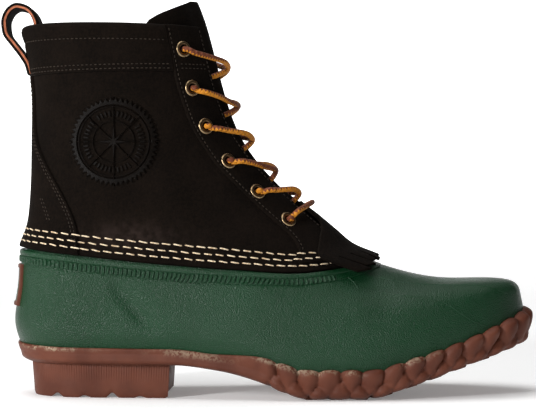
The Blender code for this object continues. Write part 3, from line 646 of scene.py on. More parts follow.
def rounded(edge: Array, radius: float) -> Array:
    """How far a rounded edge lies below the panel's face, at a distance from the edge."""
    short = np.clip(radius - edge, 0, radius)
    return radius - np.sqrt(np.maximum(radius**2 - short**2, 0.0))


def tube_sections(path: Array, radii: Array, sides: int) -> tuple[Array, Array]:
    """Rings round a path, turned as little as possible from one to the next.

    Args:
        path: Points of the path.
        radii: Radius at each.
        sides: Points in a ring.

    Returns:
        The rings, and the path's length up to each.
    """
    along = unit(np.gradient(path, axis=0))
    frames = []
    side = np.cross(along[0], (0.0, 0.0, 1.0))
    for tangent in along:
        side = side - tangent * (side @ tangent)
        side = side / np.linalg.norm(side)
        frames.append((side, np.cross(tangent, side)))
    turn = np.linspace(0, 2 * math.pi, sides, endpoint=False)
    first = np.array([f[0] for f in frames])[:, None, :] * np.cos(turn)[None, :, None]
    second = np.array([f[1] for f in frames])[:, None, :] * np.sin(turn)[None, :, None]
    rings = path[:, None, :] + (first + second) * np.asarray(radii)[:, None, None]
    return rings, Last.run_up(path)


def resample(path: Array, step: float) -> Array:
    """Evenly spaced points along a path, about a step apart."""
    run = Last.run_up(path)
    return read_path(path, run, np.linspace(0, run[-1], max(2, round(run[-1] / step) + 1)))


def smooth_path(knots: Array, per_span: int = 12) -> Array:
    """Draws a smooth path through knots.

    Args:
        knots: The knots.
        per_span: Points from one knot to the next.

    Returns:
        The path's points.
    """
    padded = np.concatenate([2 * knots[:1] - knots[1:2], knots, 2 * knots[-1:] - knots[-2:-1]])
    spans = []
    t = np.linspace(0, 1, per_span, endpoint=False)[:, None]
    for k in range(1, len(padded) - 2):
        a, b, c, d = padded[k - 1], padded[k], padded[k + 1], padded[k + 2]
        bend = (2 * a - 5 * b + 4 * c - d) * t**2 + (3 * b - a - 3 * c + d) * t**3
        spans.append(0.5 * (2 * b + (c - a) * t + bend))
    return np.concatenate([*spans, knots[-1:]])


def set_amount(piece: Piece, name: str, values: Array) -> None:
    """Keeps a number for each point of a piece, for its material."""
    layer = piece.data.attributes.new(name, "FLOAT", "POINT")
    layer.data.foreach_set("value", np.asarray(values, np.float32).ravel())


def copies(template: Piece, places: Places, name: str) -> Piece:
    """Joins copies of a small modelled piece, one at each place, and removes the piece.

    Args:
        template: The piece, modelled at the origin.
        places: For each copy its centre and the directions of its x, y and z.
        name: Name of the joined piece.

    Returns:
        The joined piece.
    """
    count = len(template.data.vertices)
    shape = np.zeros(count * 3)
    template.data.vertices.foreach_get("co", shape)
    shape = shape.reshape(-1, 3)
    faces = [list(p.vertices) for p in template.data.polygons]
    points, every = [], []
    for k, (centre, x, y, z) in enumerate(places):
        points.append(centre + shape @ np.stack([x, y, z]))
        every += [[index + k * count for index in face] for face in faces]
    bpy.data.objects.remove(template)
    return new_piece(name, np.concatenate(points), every)


# ---------------------------------------------------------------- finishes


@dataclass
class Shading:
    """A material's node tree, with short ways to add nodes."""

    name: str
    material: Material = field(init=False)

    def __post_init__(self) -> None:
        """Makes the material and finds its shader."""
        self.material = bpy.data.materials.new(self.name)
        self.material.use_nodes = True
        self.nodes = self.material.node_tree.nodes
        self.links = self.material.node_tree.links
        self.shader = self.nodes["Principled BSDF"]

    def put(self, kind: str, **values: object) -> bpy.types.Node:
        """Adds a node.

        Args:
            kind: The node's type.
            values: Its properties, or its inputs by name with spaces as underscores.

        Returns:
            The node.
        """
        node = self.nodes.new(kind)
        for key, value in values.items():
            if hasattr(node, key):
                setattr(node, key, value)
            else:
                node.inputs[key.replace("_", " ")].default_value = value
        return node

    def join(self, source: Socket, target: Socket) -> None:
        """Links two sockets."""
        self.links.new(source, target)

    def place(self) -> Socket:
        """Object coordinates."""
        return self.put("ShaderNodeTexCoord").outputs["Object"]

    def noise(self, scale: float, detail: float = 3.0, rough: float = 0.5) -> Socket:
        """Adds a noise pattern.

        Args:
            scale: About how many of its cells go to the metre.
            detail: How many finer noises lie over it.
            rough: How strong the finer ones are.

        Returns:
            The noise, from 0 to 1.
        """
        node = self.put("ShaderNodeTexNoise", Scale=scale, Detail=detail, Roughness=rough)
        self.join(self.place(), node.inputs["Vector"])
        return node.outputs["Fac"]

    def ramp(self, source: Socket, low: float, high: float, first: float = 0.0, last: float = 1.0) -> Socket:
        """Maps a range of a value to another, smoothly and within bounds.

        Args:
            source: The value.
            low: Start of its range.
            high: End of its range.
            first: What the start becomes.
            last: What the end becomes.

        Returns:
            The mapped value.
        """
        node = self.put("ShaderNodeMapRange", interpolation_type="SMOOTHSTEP")
        for key, value in (("From Min", low), ("From Max", high), ("To Min", first), ("To Max", last)):
            node.inputs[key].default_value = value
        self.join(source, node.inputs["Value"])
        return node.outputs["Result"]

    def sum(self, one: Socket | float, two: Socket | float, operation: str = "ADD") -> Socket:
        """Works out a sum or another operation of two values.

        Args:
            one: The first value.
            two: The second value.
            operation: The operation's name.

        Returns:
            The result.
        """
        node = self.put("ShaderNodeMath", operation=operation)
        for socket, value in zip(node.inputs, (one, two)):
            if isinstance(value, (int, float)):
                socket.default_value = value
            else:
                self.join(value, socket)
        return node.outputs["Value"]

    def product(self, one: Socket | float, two: Socket | float) -> Socket:
        """Multiplies two values."""
        return self.sum(one, two, "MULTIPLY")

    def mix(self, amount: Socket, one: Socket | Colour, two: Socket | Colour) -> Socket:
        """Mixes two colours.

        Args:
            amount: Share of the second colour.
            one: The first colour.
            two: The second colour.

        Returns:
            The mixed colour.
        """
        node = self.put("ShaderNodeMix", data_type="RGBA")
        for socket, value in zip((node.inputs["Factor"], *node.inputs[6:8]), (amount, one, two)):
            if isinstance(value, Socket):
                self.join(value, socket)
            else:
                socket.default_value = (*value, 1.0)
        return node.outputs[2]

    def patches(self, scale: float, detail: float, deep: Colour, pale: Colour, rough: float = 0.5) -> Socket:
        """Mixes two colours in soft patches.

        Args:
            scale: About how many patches go to the metre.
            detail: How many finer noises lie over them.
            deep: The darker colour.
            pale: The paler colour.
            rough: How strong the finer noises are.

        Returns:
            The mixed colour.
        """
        return self.mix(self.ramp(self.noise(scale, detail, rough), 0.3, 0.7), deep, pale)

    def drive(self, name: str, source: Socket) -> None:
        """Lets a value or colour drive a socket of the shader."""
        self.join(source, self.shader.inputs[name])

    def amount(self, name: str) -> Socket:
        """Reads a number kept on the mesh."""
        return self.put("ShaderNodeAttribute", attribute_name=name).outputs["Fac"]

    def bump(self, height: Socket, depth: float) -> None:
        """Adds relief on top of what is there.

        Args:
            height: The relief, from 0 to 1.
            depth: Its real depth in metres, negative where high places sink.
        """
        node = self.put("ShaderNodeBump", Distance=depth, Strength=1.0)
        self.join(height, node.inputs["Height"])
        normal = self.shader.inputs["Normal"]
        if normal.is_linked:
            self.join(normal.links[0].from_socket, node.inputs["Normal"])
        self.join(node.outputs["Normal"], normal)

    def set(self, **values: object) -> None:
        """Sets the shader's own sockets, by name with spaces as underscores."""
        for key, value in values.items():
            self.shader.inputs[key.replace("_", " ")].default_value = value


@dataclass(frozen=True)
class PebbledRubber:
    """Satin green rubber with a fine pebbled grain."""

    name: str = "pebbled_green_rubber"
    deep: Colour = (0.0022, 0.0285, 0.0085)
    pale: Colour = (0.0034, 0.0350, 0.0115)
    pebble: float = 1550.0
    grain_depth: float = 0.00036

    def make(self) -> Material:
        """Builds the material.

        Returns:
            The material.
        """
        s = Shading(self.name)
        s.drive("Base Color", s.patches(22.0, 4.0, self.deep, self.pale))
        cells = s.put("ShaderNodeTexVoronoi", feature="SMOOTH_F1", Scale=self.pebble, Smoothness=0.3)
        s.join(s.place(), cells.inputs["Vector"])
        grain = s.sum(cells.outputs["Distance"], s.product(s.noise(1400.0, 1.0), 0.5))
        s.bump(s.noise(45.0, 1.0), 0.00016)
        s.bump(grain, -self.grain_depth)
        s.drive("Roughness", s.ramp(s.noise(60.0, 5.0), 0.3, 0.75, 0.35, 0.41))
        s.set(Specular_IOR_Level=0.29)
        return s.material


@dataclass(frozen=True)
class MouldedRubber:
    """Matte reddish brown rubber, with pale cement along its upper rim."""

    name: str = "moulded_brown_rubber"
    deep: Colour = (0.074, 0.0200, 0.0104)
    pale: Colour = (0.114, 0.0345, 0.0185)
    cement: Colour = (0.44, 0.36, 0.25)

    def make(self) -> Material:
        """Builds the material.

        Returns:
            The material.
        """
        s = Shading(self.name)
        base = s.patches(48.0, 5.0, self.deep, self.pale)
        smear = s.product(s.amount("cement"), s.ramp(s.noise(85.0, 3.0), 0.40, 0.56))
        speckle = s.product(smear, s.ramp(s.noise(750.0, 2.0), 0.38, 0.60))
        s.drive("Base Color", s.mix(s.product(speckle, 0.80), base, self.cement))
        s.bump(s.noise(700.0, 4.0), 0.00008)
        s.bump(s.noise(120.0, 3.0), 0.00025)
        s.drive("Roughness", s.ramp(s.noise(150.0, 4.0), 0.3, 0.7, 0.52, 0.66))
        s.set(Specular_IOR_Level=0.20)
        return s.material


@dataclass(frozen=True)
class Nubuck:
    """Very dark brown leather with a short brushed nap."""

    name: str = "brushed_brown_leather"
    deep: Colour = (0.0017, 0.0011, 0.0007)
    pale: Colour = (0.0070, 0.0044, 0.0029)
    nap: Colour = (0.30, 0.24, 0.20)
    sheen: float = 0.015
    roughness: float = 0.92
    pressed: Colour = (0.0019, 0.0013, 0.0010)
    brushed: Colour = (0.022, 0.0145, 0.012)

    def make(self) -> Material:
        """Builds the material.

        Returns:
            The material.
        """
        s = Shading(self.name)
        patches = s.ramp(s.noise(34.0, 5.0, 0.6), 0.34, 0.70)
        grain = s.ramp(s.noise(800.0, 4.0, 0.85), 0.40, 0.60)
        mottled = s.sum(s.product(patches, 0.38), s.product(grain, 0.62))
        pressed = s.amount("pressed")
        brushed = s.product(s.amount("brushed"), s.ramp(s.noise(260.0, 4.0), 0.35, 0.65, 0.2, 0.9))
        nap = s.mix(brushed, s.mix(mottled, self.deep, self.pale), self.brushed)
        s.drive("Base Color", s.mix(s.product(pressed, 0.6), nap, self.pressed))
        s.bump(s.noise(1900.0, 4.0, 0.65), 0.00012)
        s.bump(s.noise(150.0, 3.0), 0.00022)
        s.drive("Roughness", s.ramp(pressed, 0.1, 0.9, self.roughness, 0.40))
        s.set(Specular_IOR_Level=0.055)
        s.set(Sheen_Weight=self.sheen, Sheen_Roughness=0.45, Sheen_Tint=(*self.nap, 1.0))
        return s.material


@dataclass(frozen=True)
class AgedBrass:
    """Brown brass, worn bright on its rims."""

    name: str = "aged_brass"
    patina: Colour = (0.060, 0.036, 0.019)
    bright: Colour = (0.44, 0.31, 0.17)

    def make(self) -> Material:
        """Builds the material.

        Returns:
            The material.
        """
        s = Shading(self.name)
        worn = s.product(s.amount("wear"), s.ramp(s.noise(700.0, 3.0), 0.25, 0.6, 0.55, 1.0))
        s.drive("Base Color", s.mix(worn, self.patina, self.bright))
        s.drive("Roughness", s.ramp(s.noise(1200.0, 3.0), 0.3, 0.7, 0.24, 0.42))
        s.bump(s.noise(1600.0, 3.0), 0.00003)
        s.set(Metallic=1.0)
        return s.material


@dataclass(frozen=True)
class BraidedCord:
    """Ochre round braid with brown ticks. Which side of the cord is brown is set by a fixed direction, not by
    the braid, so the brown half is partly the braid's own colour and partly painted shade. Its map runs along
    the cord in metres, and round it from 0 to 1.
    """

    name: str = "braided_lace"
    ochre: Colour = (0.47, 0.170, 0.004)
    # brown: the colour of the braid's ticks, also laid over one side of the cord as painted shade.
    brown: Colour = (0.125, 0.026, 0.006)
    stitch: float = 0.0018
    strands: int = 4

    def make(self) -> Material:
        """Builds the material.

        Returns:
            The material.
        """
        s = Shading(self.name)
        split = s.put("ShaderNodeSeparateXYZ")
        s.join(s.put("ShaderNodeUVMap", uv_map="flow").outputs["UV"], split.inputs["Vector"])
        along = s.product(split.outputs["X"], 1.0 / self.stitch)
        around = s.product(split.outputs["Y"], float(self.strands))
        lean, back = s.sum(along, around), s.sum(along, around, "SUBTRACT")
        wave = s.product(s.sum(lean, 1.0, "PINGPONG"), s.sum(back, 1.0, "PINGPONG"))
        tooth = s.product(s.sum(along, 0.5, "PINGPONG"), 0.34)
        # The brown half sits round the side that turned() sets by a fixed direction, which is painted shade;
        # the tooth gives the braid's own sawtooth ticks.
        strip = s.sum(s.sum(split.outputs["Y"], 0.5, "PINGPONG"), tooth)
        s.drive("Base Color", s.mix(s.ramp(strip, 0.35, 0.38), self.ochre, self.brown))
        s.bump(s.ramp(wave, 0.0, 0.55), 0.00048)
        s.bump(s.noise(2600.0, 3.0), 0.00006)
        s.set(Roughness=0.66, Specular_IOR_Level=0.35)
        s.set(Sheen_Weight=0.05, Sheen_Roughness=0.5, Sheen_Tint=(0.9, 0.7, 0.35, 1.0))
        return s.material


@dataclass(frozen=True)
class Thread:
    """Waxed sewing thread in one colour, with a fine twist."""

    name: str
    colour: Colour
    shade: Colour
    roughness: float = 0.45

    def make(self) -> Material:
        """Builds the material.

        Returns:
            The material.
        """
        s = Shading(self.name)
        s.drive("Base Color", s.patches(900.0, 3.0, self.shade, self.colour))
        s.bump(s.noise(4200.0, 2.0), 0.00008)
        s.set(Roughness=self.roughness, Specular_IOR_Level=0.15)
        return s.material


@dataclass(frozen=True)
class Felt:
    """Grey pressed felt."""

    name: str = "grey_felt"
    deep: Colour = (0.075, 0.068, 0.060)
    pale: Colour = (0.145, 0.132, 0.118)

    def make(self) -> Material:
        """Builds the material.

        Returns:
            The material.
        """
        s = Shading(self.name)
        s.drive("Base Color", s.patches(260.0, 6.0, self.deep, self.pale, 0.65))
        s.bump(s.noise(1400.0, 5.0, 0.7), 0.0003)
        s.set(Roughness=0.95, Specular_IOR_Level=0.15, Sheen_Weight=0.15)
        return s.material


@dataclass(frozen=True)
class CutEdge:
    """Tan raw edge of leather or webbing."""

    name: str = "tan_cut_edge"
    deep: Colour = (0.21, 0.060, 0.026)
    pale: Colour = (0.42, 0.135, 0.062)

    def make(self) -> Material:
        """Builds the material.

        Returns:
            The material.
        """
        s = Shading(self.name)
        s.drive("Base Color", s.patches(380.0, 4.0, self.deep, self.pale))
        s.bump(s.noise(1500.0, 4.0), 0.0001)
        s.set(Roughness=0.8, Specular_IOR_Level=0.3)
        return s.material


@dataclass
class Finishes:
    """Every finish of the boot, made once."""

    green: Material = field(default_factory=PebbledRubber().make)
    brown: Material = field(default_factory=MouldedRubber().make)
    leather: Material = field(default_factory=Nubuck().make)
    brass: Material = field(default_factory=AgedBrass().make)
    lace: Material = field(default_factory=BraidedCord().make)
    cream_thread: Material = field(
        default_factory=Thread("cream_thread", (0.84, 0.71, 0.52), (0.46, 0.31, 0.18)).make
    )
    dark_thread: Material = field(
        default_factory=Thread("brown_thread", (0.040, 0.029, 0.021), (0.014, 0.010, 0.008), 0.75).make
    )
    felt: Material = field(default_factory=Felt().make)
    tan: Material = field(default_factory=CutEdge().make)


def dress(piece: Piece, finish: Material, slot: Slot, *nodes: str, more: tuple[Material, ...] = ()) -> None:
    """Gives a piece its finish and ties it to the boot.

    Args:
        piece: The piece.
        finish: Its material.
        slot: The record's slot it belongs to; not used.
        nodes: The plain solids that it stands for.
        more: Further materials, used by some of its faces.
    """
    for each in (finish, *more):
        piece.data.materials.append(each)
    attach(piece, "root")
    if nodes:
        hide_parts(*nodes)
    LOG.info("%s: %d faces", piece.name, len(piece.data.polygons))


# ---------------------------------------------------------------- rubber lower


@dataclass
class RubberLower:
    """The moulded green lower: its wall, the ribbed bead under the leather, raised lines and heel label."""

    last: Last
    finishes: Finishes
    wall: float = 0.0026
    tuck: float = 0.0026
    bead_drop: float = 0.0012
    rim_height: float = 0.0034
    rib_height: float = 0.0042
    bead_raise: float = 0.0008
    overlap: float = 0.0100
    columns: int = 300
    ribs_per_half: int = 95
    rib_end: float = 0.845
    label_width: float = 0.037
    label_height: float = 0.0245
    label_thickness: float = 0.0012
    label_frame: float = 0.0026
    label_round: float = 0.0006
    label_level: float = 3.47

    def shell(self) -> None:
        """Makes the wall from the feather edge to the rim under the leather."""
        last, bead, tuck = self.last, self.bead_raise, self.tuck
        u = np.linspace(-1, 1, self.columns, endpoint=False)
        top = -self.bead_drop
        rim = top - self.rim_height
        foot = rim - self.rib_height
        u_low, v_low = last.slide(u, last.hem_level, foot - 0.0010)
        rows = [(u + (u_low - u) * share, v_low * share, 0.0, -self.wall) for share in np.linspace(0, 1, 40)]
        for drop, out, into in (
            (foot - 0.0005, -0.00025, 0.0),
            (foot, -0.00030, 0.0),
            (foot + 0.0003, 0.20 * bead, 0.0),
            (foot + 0.0014, 0.25 * bead, 0.0),
            (rim - 0.0002, 0.25 * bead, 0.0),
            (rim, 0.10 * bead, 0.0),
            (rim + 0.0005, 0.75 * bead, 0.0),
            (rim + 0.0011, bead, 0.0),
            (top - 0.0011, bead, 0.0),
            (top - 0.0003, 0.75 * bead, tuck / 2),
            (top, 0.10 * bead, tuck),
            (top + 0.0002, -0.9 * tuck, tuck),
            (self.overlap, -tuck, tuck),
        ):
            rows.append((*last.slide(u, last.hem_level, drop), out, -self.wall - into))
        outer = np.array([last.off(u, v, out) for u, v, out, _ in rows])
        inner = np.array([last.off(u, v, into) for u, v, _, into in rows])
        inner[0, :, 2] = outer[0, :, 2]
        piece = wall_piece("rubber_lower", outer, inner, closed=True)
        dress(piece, self.finishes.green, Slot.GREEN, "rubber_shell")

    def rib_band(self) -> None:
        """Makes the short upright ribs that stand on the bead."""
        last = self.last
        per_rib = 8
        half = self.ribs_per_half * per_rib
        u = np.linspace(-1, 1, 2 * half, endpoint=False)
        wave = 0.5 + 0.5 * np.cos(2 * math.pi * np.abs(u) * self.ribs_per_half)
        ridge = ease(wave * 1.5 - 0.25) * ease((self.rib_end - np.abs(u)) / 0.02)
        top = -self.bead_drop - self.rim_height
        foot = top - self.rib_height
        shares = np.array([0.0, 0.05, 0.13, 0.3, 0.5, 0.7, 0.87, 0.95, 1.0])
        swell = np.array([0.0, 0.55, 0.92, 1.0, 1.0, 1.0, 0.92, 0.55, 0.0])
        outer, inner = [], []
        for share, full in zip(shares, swell):
            u_row, v_row = last.slide(u, last.hem_level, foot + (top - foot) * share)
            outer.append(last.off(u_row, v_row, 1.25 * self.bead_raise * ridge * full))
            inner.append(last.off(u_row, v_row, -0.0008))
        piece = wall_piece("rib_band", np.array(outer), np.array(inner), closed=True)
        dress(piece, self.finishes.green, Slot.GREEN)

    def raised_lines(self) -> None:
        """Makes the thin raised lines over the vamp, on both sides."""
        lines = (
            (((0.885, 5.45), (0.893, 4.75), (0.899, 3.75), (0.910, 2.85), (0.930, 2.30)), 0.00085),
            (((0.806, 4.85), (0.797, 3.75), (0.808, 2.70), (0.838, 1.70), (0.872, 1.05)), 0.00075),
            (((0.842, 5.74), (0.822, 5.42), (0.796, 5.10), (0.775, 4.90)), 0.0009),
        )
        points, faces, start, around = [], [], 0, 10
        for side in Side:
            for knots, radius in lines:
                flat = np.array([(u * side.value, v, 0.0) for u, v in knots])
                route = resample(smooth_path(flat, 16), 0.035)
                centre = resample(self.last.off(route[:, 0], route[:, 1], -0.70 * radius), 0.0012)
                share = np.linspace(0, 1, len(centre))
                radii = radius * np.minimum(1.0, 0.25 + 3.5 * np.sqrt(share * (1 - share)))
                rings, _ = tube_sections(centre, radii, around)
                points.append(rings.reshape(-1, 3))
                faces += bar_faces(len(centre), around, start)
                start += len(centre) * around
        piece = new_piece("vamp_lines", np.concatenate(points), faces)
        dress(piece, self.finishes.green, Slot.GREEN)

    def label(self) -> None:
        """Makes the plain heel label: a brown frame round a dark green field."""
        last = self.last
        marks = (0.0, 0.0003, 0.0009, 0.0022, self.label_frame)
        across = lines_across(np.array([self.label_width]), marks, 18)[0]
        up = lines_across(np.array([self.label_height]), marks, 12)[0]
        y = across - self.label_width / 2
        x_grid, z_grid = np.meshgrid(y, up - self.label_height / 2)
        v = last.climb(np.zeros_like(z_grid), self.label_level, z_grid)
        u = x_grid / last.half_length(x_grid, v)
        sides = np.minimum(across, self.label_width - across)[None, :]
        edge = np.minimum(sides, np.minimum(up, self.label_height - up)[:, None])
        frame_height = 0.0005 * ease((self.label_frame - edge) / 0.0004)
        lift = self.label_thickness + frame_height - rounded(edge, self.label_round)
        piece = wall_piece("heel_label", last.off(u, v, lift), last.off(u, v, -0.0003))
        dress(piece, self.finishes.brown, Slot.BROWN, "heel_patch", more=(self.finishes.green,))
        centre = last.point(0.0, self.label_level)
        for face in piece.data.polygons:
            here = np.array(face.center)
            inside = abs(here[1]) < self.label_width / 2 - self.label_frame
            inside = inside and abs(here[2] - centre[2]) < self.label_height / 2 - self.label_frame
            face.material_index = int(inside and face.normal.x < -0.5)

    def build(self) -> None:
        """Makes every piece of the lower."""
        self.shell()
        self.rib_band()
        self.raised_lines()
        self.label()


# ---------------------------------------------------------------- sole


@dataclass
class Sole:
    """The outsole with its lobed foxing and zigzag tread, and the ribbed heel."""

    last: Last
    finishes: Finishes
    foxing_height: float = 0.0120
    foxing_thickness: float = 0.0040
    rim_width: float = 0.0045
    rim_lift: float = 0.0004
    rim_draft: float = 0.0012
    lug_depth: float = 0.0028
    lobes_per_side: int = 15
    lobe_start: float = 0.47
    lobe_relief: float = 0.0022
    scallop: float = 0.0024
    foot_scallop: float = 0.0012
    columns: int = 880
    lug_pitch: float = 0.0142
    lug_width: float = 0.0070
    lug_wave: float = 0.0032
    lug_first: float = 0.118
    lug_count: int = 8
    heel_front: float = 0.0405
    heel_inset: float = 0.0052
    heel_share: float = 0.86
    heel_taper: float = 0.0012
    heel_lugs: int = 5
    heel_groove: float = 0.0026
    breast_hollow: float = 0.0030
    rib_pitch: float = 0.00145
    rib_depth: float = 0.00030
    heel_overlap: float = 0.0008
    least_wall: float = 0.0011
    foot_round: float = 0.0016
    lug_overlap: float = 0.0016
    insole_gap: float = 0.0032
    insole_seat: float = 0.0010

    def domes(self, phase: Array, h: Array, shift: float, centre: float, wide: float, tall: float) -> Array:
        """Height of the nearest rounded lobe of one row, from 0 at its rim to 1.

        Args:
            phase: Place along the foxing, in lobes.
            h: Height on the foxing, from 0 to 1.
            shift: Where the row's lobes stand between whole numbers.
            centre: Height of their middles.
            wide: Half their width, in lobes.
            tall: Half their height.

        Returns:
            The height.
        """
        best = np.zeros(np.broadcast(phase, h).shape)
        number = np.floor(phase - shift + 0.5)
        for each in (number - 1, number, number + 1):
            middle = each + shift + 0.07 * np.sin(2.3 * each + 9 * shift)
            size = 1 + 0.10 * np.sin(3.7 * each + 5 * shift)
            across = (phase - middle) / (wide * size)
            up = (h - centre - 0.04 * np.sin(1.9 * each)) / (tall * size)
            taper = across * (1 + 0.8 * np.clip(-up if shift else up, 0, 1))
            best = np.maximum(best, np.clip(1 - taper**2 - np.abs(up) ** 2.4, 0, 1) ** 0.38)
        return best

    def lobes(self, s: Array, h: Array) -> tuple[Array, Array, Array]:
        """Works out the relief of the lobes.

        Args:
            s: Place round one half, from 0 to 1.
            h: Height on the foxing, from 0 to 1.

        Returns:
            The relief, from -1 to 1, and how far the top and the foot draw in between lobes, from 0 to 1.
        """
        phase = (s - self.lobe_start) / (1 - self.lobe_start) * self.lobes_per_side
        fade = ease(phase / 0.8) * (1 - 0.65 * ease((s - 0.955) / 0.03))
        upper = self.domes(phase, h, 0.5, 0.64, 0.53, 0.53)
        lower = self.domes(phase, h, 0.0, 0.17, 0.53, 0.44)
        relief = np.maximum(upper, 0.96 * lower) * 2.3 - 1.55
        within = phase - np.floor(phase) - 0.5
        sink = 1 - np.sqrt(np.maximum(1 - (1.98 * within) ** 2, 0.0))
        return relief * fade, sink * fade, (1 - self.domes(phase, 0.17 + 0 * h, 0.0, 0.17, 0.58, 0.44)) * fade

    def cement(self, s: Array, h: Array) -> Array:
        """Works out where pale cement may show on the foxing.

        Args:
            s: Place round one half, from 0 to 1.
            h: Height on the foxing, from 0 to 1.

        Returns:
            How thick it lies, from 0 to 1.
        """
        smear = np.exp(-(((s - 0.115) / 0.055) ** 2)) * ease((h - 0.70) / 0.2)
        specks = np.exp(-(((s - 0.36) / 0.06) ** 2)) * ease((h - 0.45) / 0.4)
        crowns = ease((s - 0.44) / 0.05) * ease((0.82 - s) / 0.12) * ease((h - 0.76) / 0.22)
        return np.maximum(smear, np.maximum(0.50 * specks, 0.58 * crowns))

    def outsole(self) -> None:
        """Makes the plate and the foxing wall round the lower."""
        last = self.last
        u = np.linspace(-1, 1, self.columns, endpoint=False)
        s = np.abs(u)
        along = (0.00, 0.18, 0.38, 0.52, 0.80, 0.93, 1.00)
        height = self.foxing_height * curve_through(along, (0.44, 0.26, 0.22, 0.86, 0.84, 1.12, 1.25), s)
        foot, middle, high = (
            self.foxing_thickness * curve_through(along, values, s)
            for values in (
                (-1.25, -1.10, -1.00, -0.30, -0.30, -0.45, -0.50),
                (0.60, 0.65, 0.65, 0.90, 1.00, 1.75, 2.05),
                (0.50, 0.55, 0.55, 0.75, 0.85, 1.35, 1.55),
            )
        )
        feather = last.point(u, 0.0)
        out = unit(last.normal(u, 0.6) * np.array([1.0, 1.0, 0.0]))
        floor = last.underside(feather[:, 0])
        plate = floor + last.sole_plate
        h = np.concatenate([[0.0, 0.03], np.linspace(0.07, 0.93, 20), [0.965, 0.985, 0.996, 1.0]])
        h_grid, s_grid = np.meshgrid(h, s, indexing="ij")
        relief, sink, notch = self.lobes(s_grid, h_grid)
        rim = self.rim_lift + self.foot_scallop * notch[0]
        top = plate + height - self.scallop * sink[0] + 0.0005
        z = floor + rim + h_grid * (top - floor - rim)
        # How far out the wall stands, given at a few heights and evened out between them.
        nodes = np.array([0.0, 0.06, 0.24, 0.62, 0.90, 1.0])
        at_heel = 1 - ease((s - 0.10) / 0.14)
        low = foot + (middle - foot) * (0.65 - 0.40 * at_heel)
        reach = np.stack([foot, low, middle - 0.0016 * at_heel, high, 0.82 * high, 0.55 * high])
        basis = np.array([np.interp(h, nodes, row) for row in np.eye(len(nodes))])
        distance = basis.T @ reach
        even_out(distance, 3)
        tip = 1 - ease((h_grid - 0.86) / 0.14)
        distance = distance + self.lobe_relief * relief * (0.35 + 0.65 * tip)
        distance = np.where(h_grid > 0.3, np.maximum(distance, self.least_wall), distance)
        distance = distance * (0.4 + 0.6 * np.sqrt(np.clip((1.002 - h_grid) / 0.09, 0, 1)))
        curved = np.sqrt(np.clip(1 - (1 - h_grid / 0.22) ** 2, 0, 1))
        distance = distance - self.foot_round * (1 - np.where(h_grid < 0.22, curved, 1.0))
        levels = last.level_at(u[None, :], z)
        wall = np.where((z > plate)[..., None], last.point(u[None, :], levels), feather[None, :, :])
        face = wall + out[None] * distance[..., None]
        face[..., 2] = z
        groove = rim + (self.lug_depth - rim) * ease((s - self.lobe_start + 0.02) / 0.04)

        def under(height_there: Array, step: Array | float) -> Array:
            """Points beside the feather edge, a step out and at a height."""
            points = feather + out * np.broadcast_to(step, s.shape)[:, None]
            return np.stack([points[:, 0], points[:, 1], height_there], axis=1)

        # Rows from inside the tread's hollow, over the wall's face, to the plate's top.
        rim_inside = foot - self.rim_width
        rows = [
            under(floor + groove, rim_inside - self.rim_draft),
            under(floor + groove - 0.25 * (groove - rim), rim_inside - 0.2 * self.rim_draft),
            under(floor + rim, rim_inside + 0.0003),
            under(floor + rim - 0.0001, foot - 0.0024),
            *face,
            wall[-1] + out * -0.0007,
            under(plate, -0.0007),
        ]
        rows[-2][:, 2] = top
        rows = np.array(rows)
        count, deep = len(u), len(rows)
        faces = grid_faces(deep, count, closed=True).tolist()
        faces += ring_cover(0, count) + ring_cover((deep - 1) * count, count)
        piece = new_piece("outsole_and_foxing", rows, faces)
        patches = self.cement(s_grid, h_grid)
        amount = np.zeros((deep, count))
        amount[4 : 4 + len(h)] = patches
        amount[-2] = patches[-1]
        set_amount(piece, "cement", amount)
        dress(piece, self.finishes.brown, Slot.BROWN, "outsole")

    def tread(self) -> None:
        """Makes the zigzag bars across the forefoot."""
        last = self.last
        ring = {side: last.point(side.value * np.linspace(0.3, 1, 300), 0.0) for side in Side}
        profile = ((-0.5, 1.0), (-0.5, 0.16), (-0.42, 0.0), (0.42, 0.0), (0.5, 0.16), (0.5, 1.0))
        points, faces, start = [], [], 0
        per_bar, trim = 41, 0.9 * self.rim_width
        zigzag = self.lug_wave * (2 * np.abs((np.linspace(0, 5, per_bar) % 2.0) - 1.0) - 1.0)
        for n in range(self.lug_count):
            middle = self.lug_first + self.lug_pitch * n
            ends = [np.interp(middle, ring[side][:, 0], ring[side][:, 1]) for side in Side]
            y = np.linspace(ends[0] + trim, ends[1] - trim, per_bar)
            section = []
            for share, rise in profile:
                x = middle + zigzag + share * self.lug_width
                z = last.underside(x) + rise * (self.lug_depth + self.lug_overlap)
                section.append(np.stack([x, y, z], axis=1))
            points.append(np.array(section).transpose(1, 0, 2).reshape(-1, 3))
            faces += bar_faces(per_bar, len(profile), start)
            start += per_bar * len(profile)
        piece = new_piece("tread_bars", np.concatenate(points), faces, sharp=35.0)
        set_amount(piece, "cement", np.zeros(start))
        dress(piece, self.finishes.brown, Slot.BROWN)

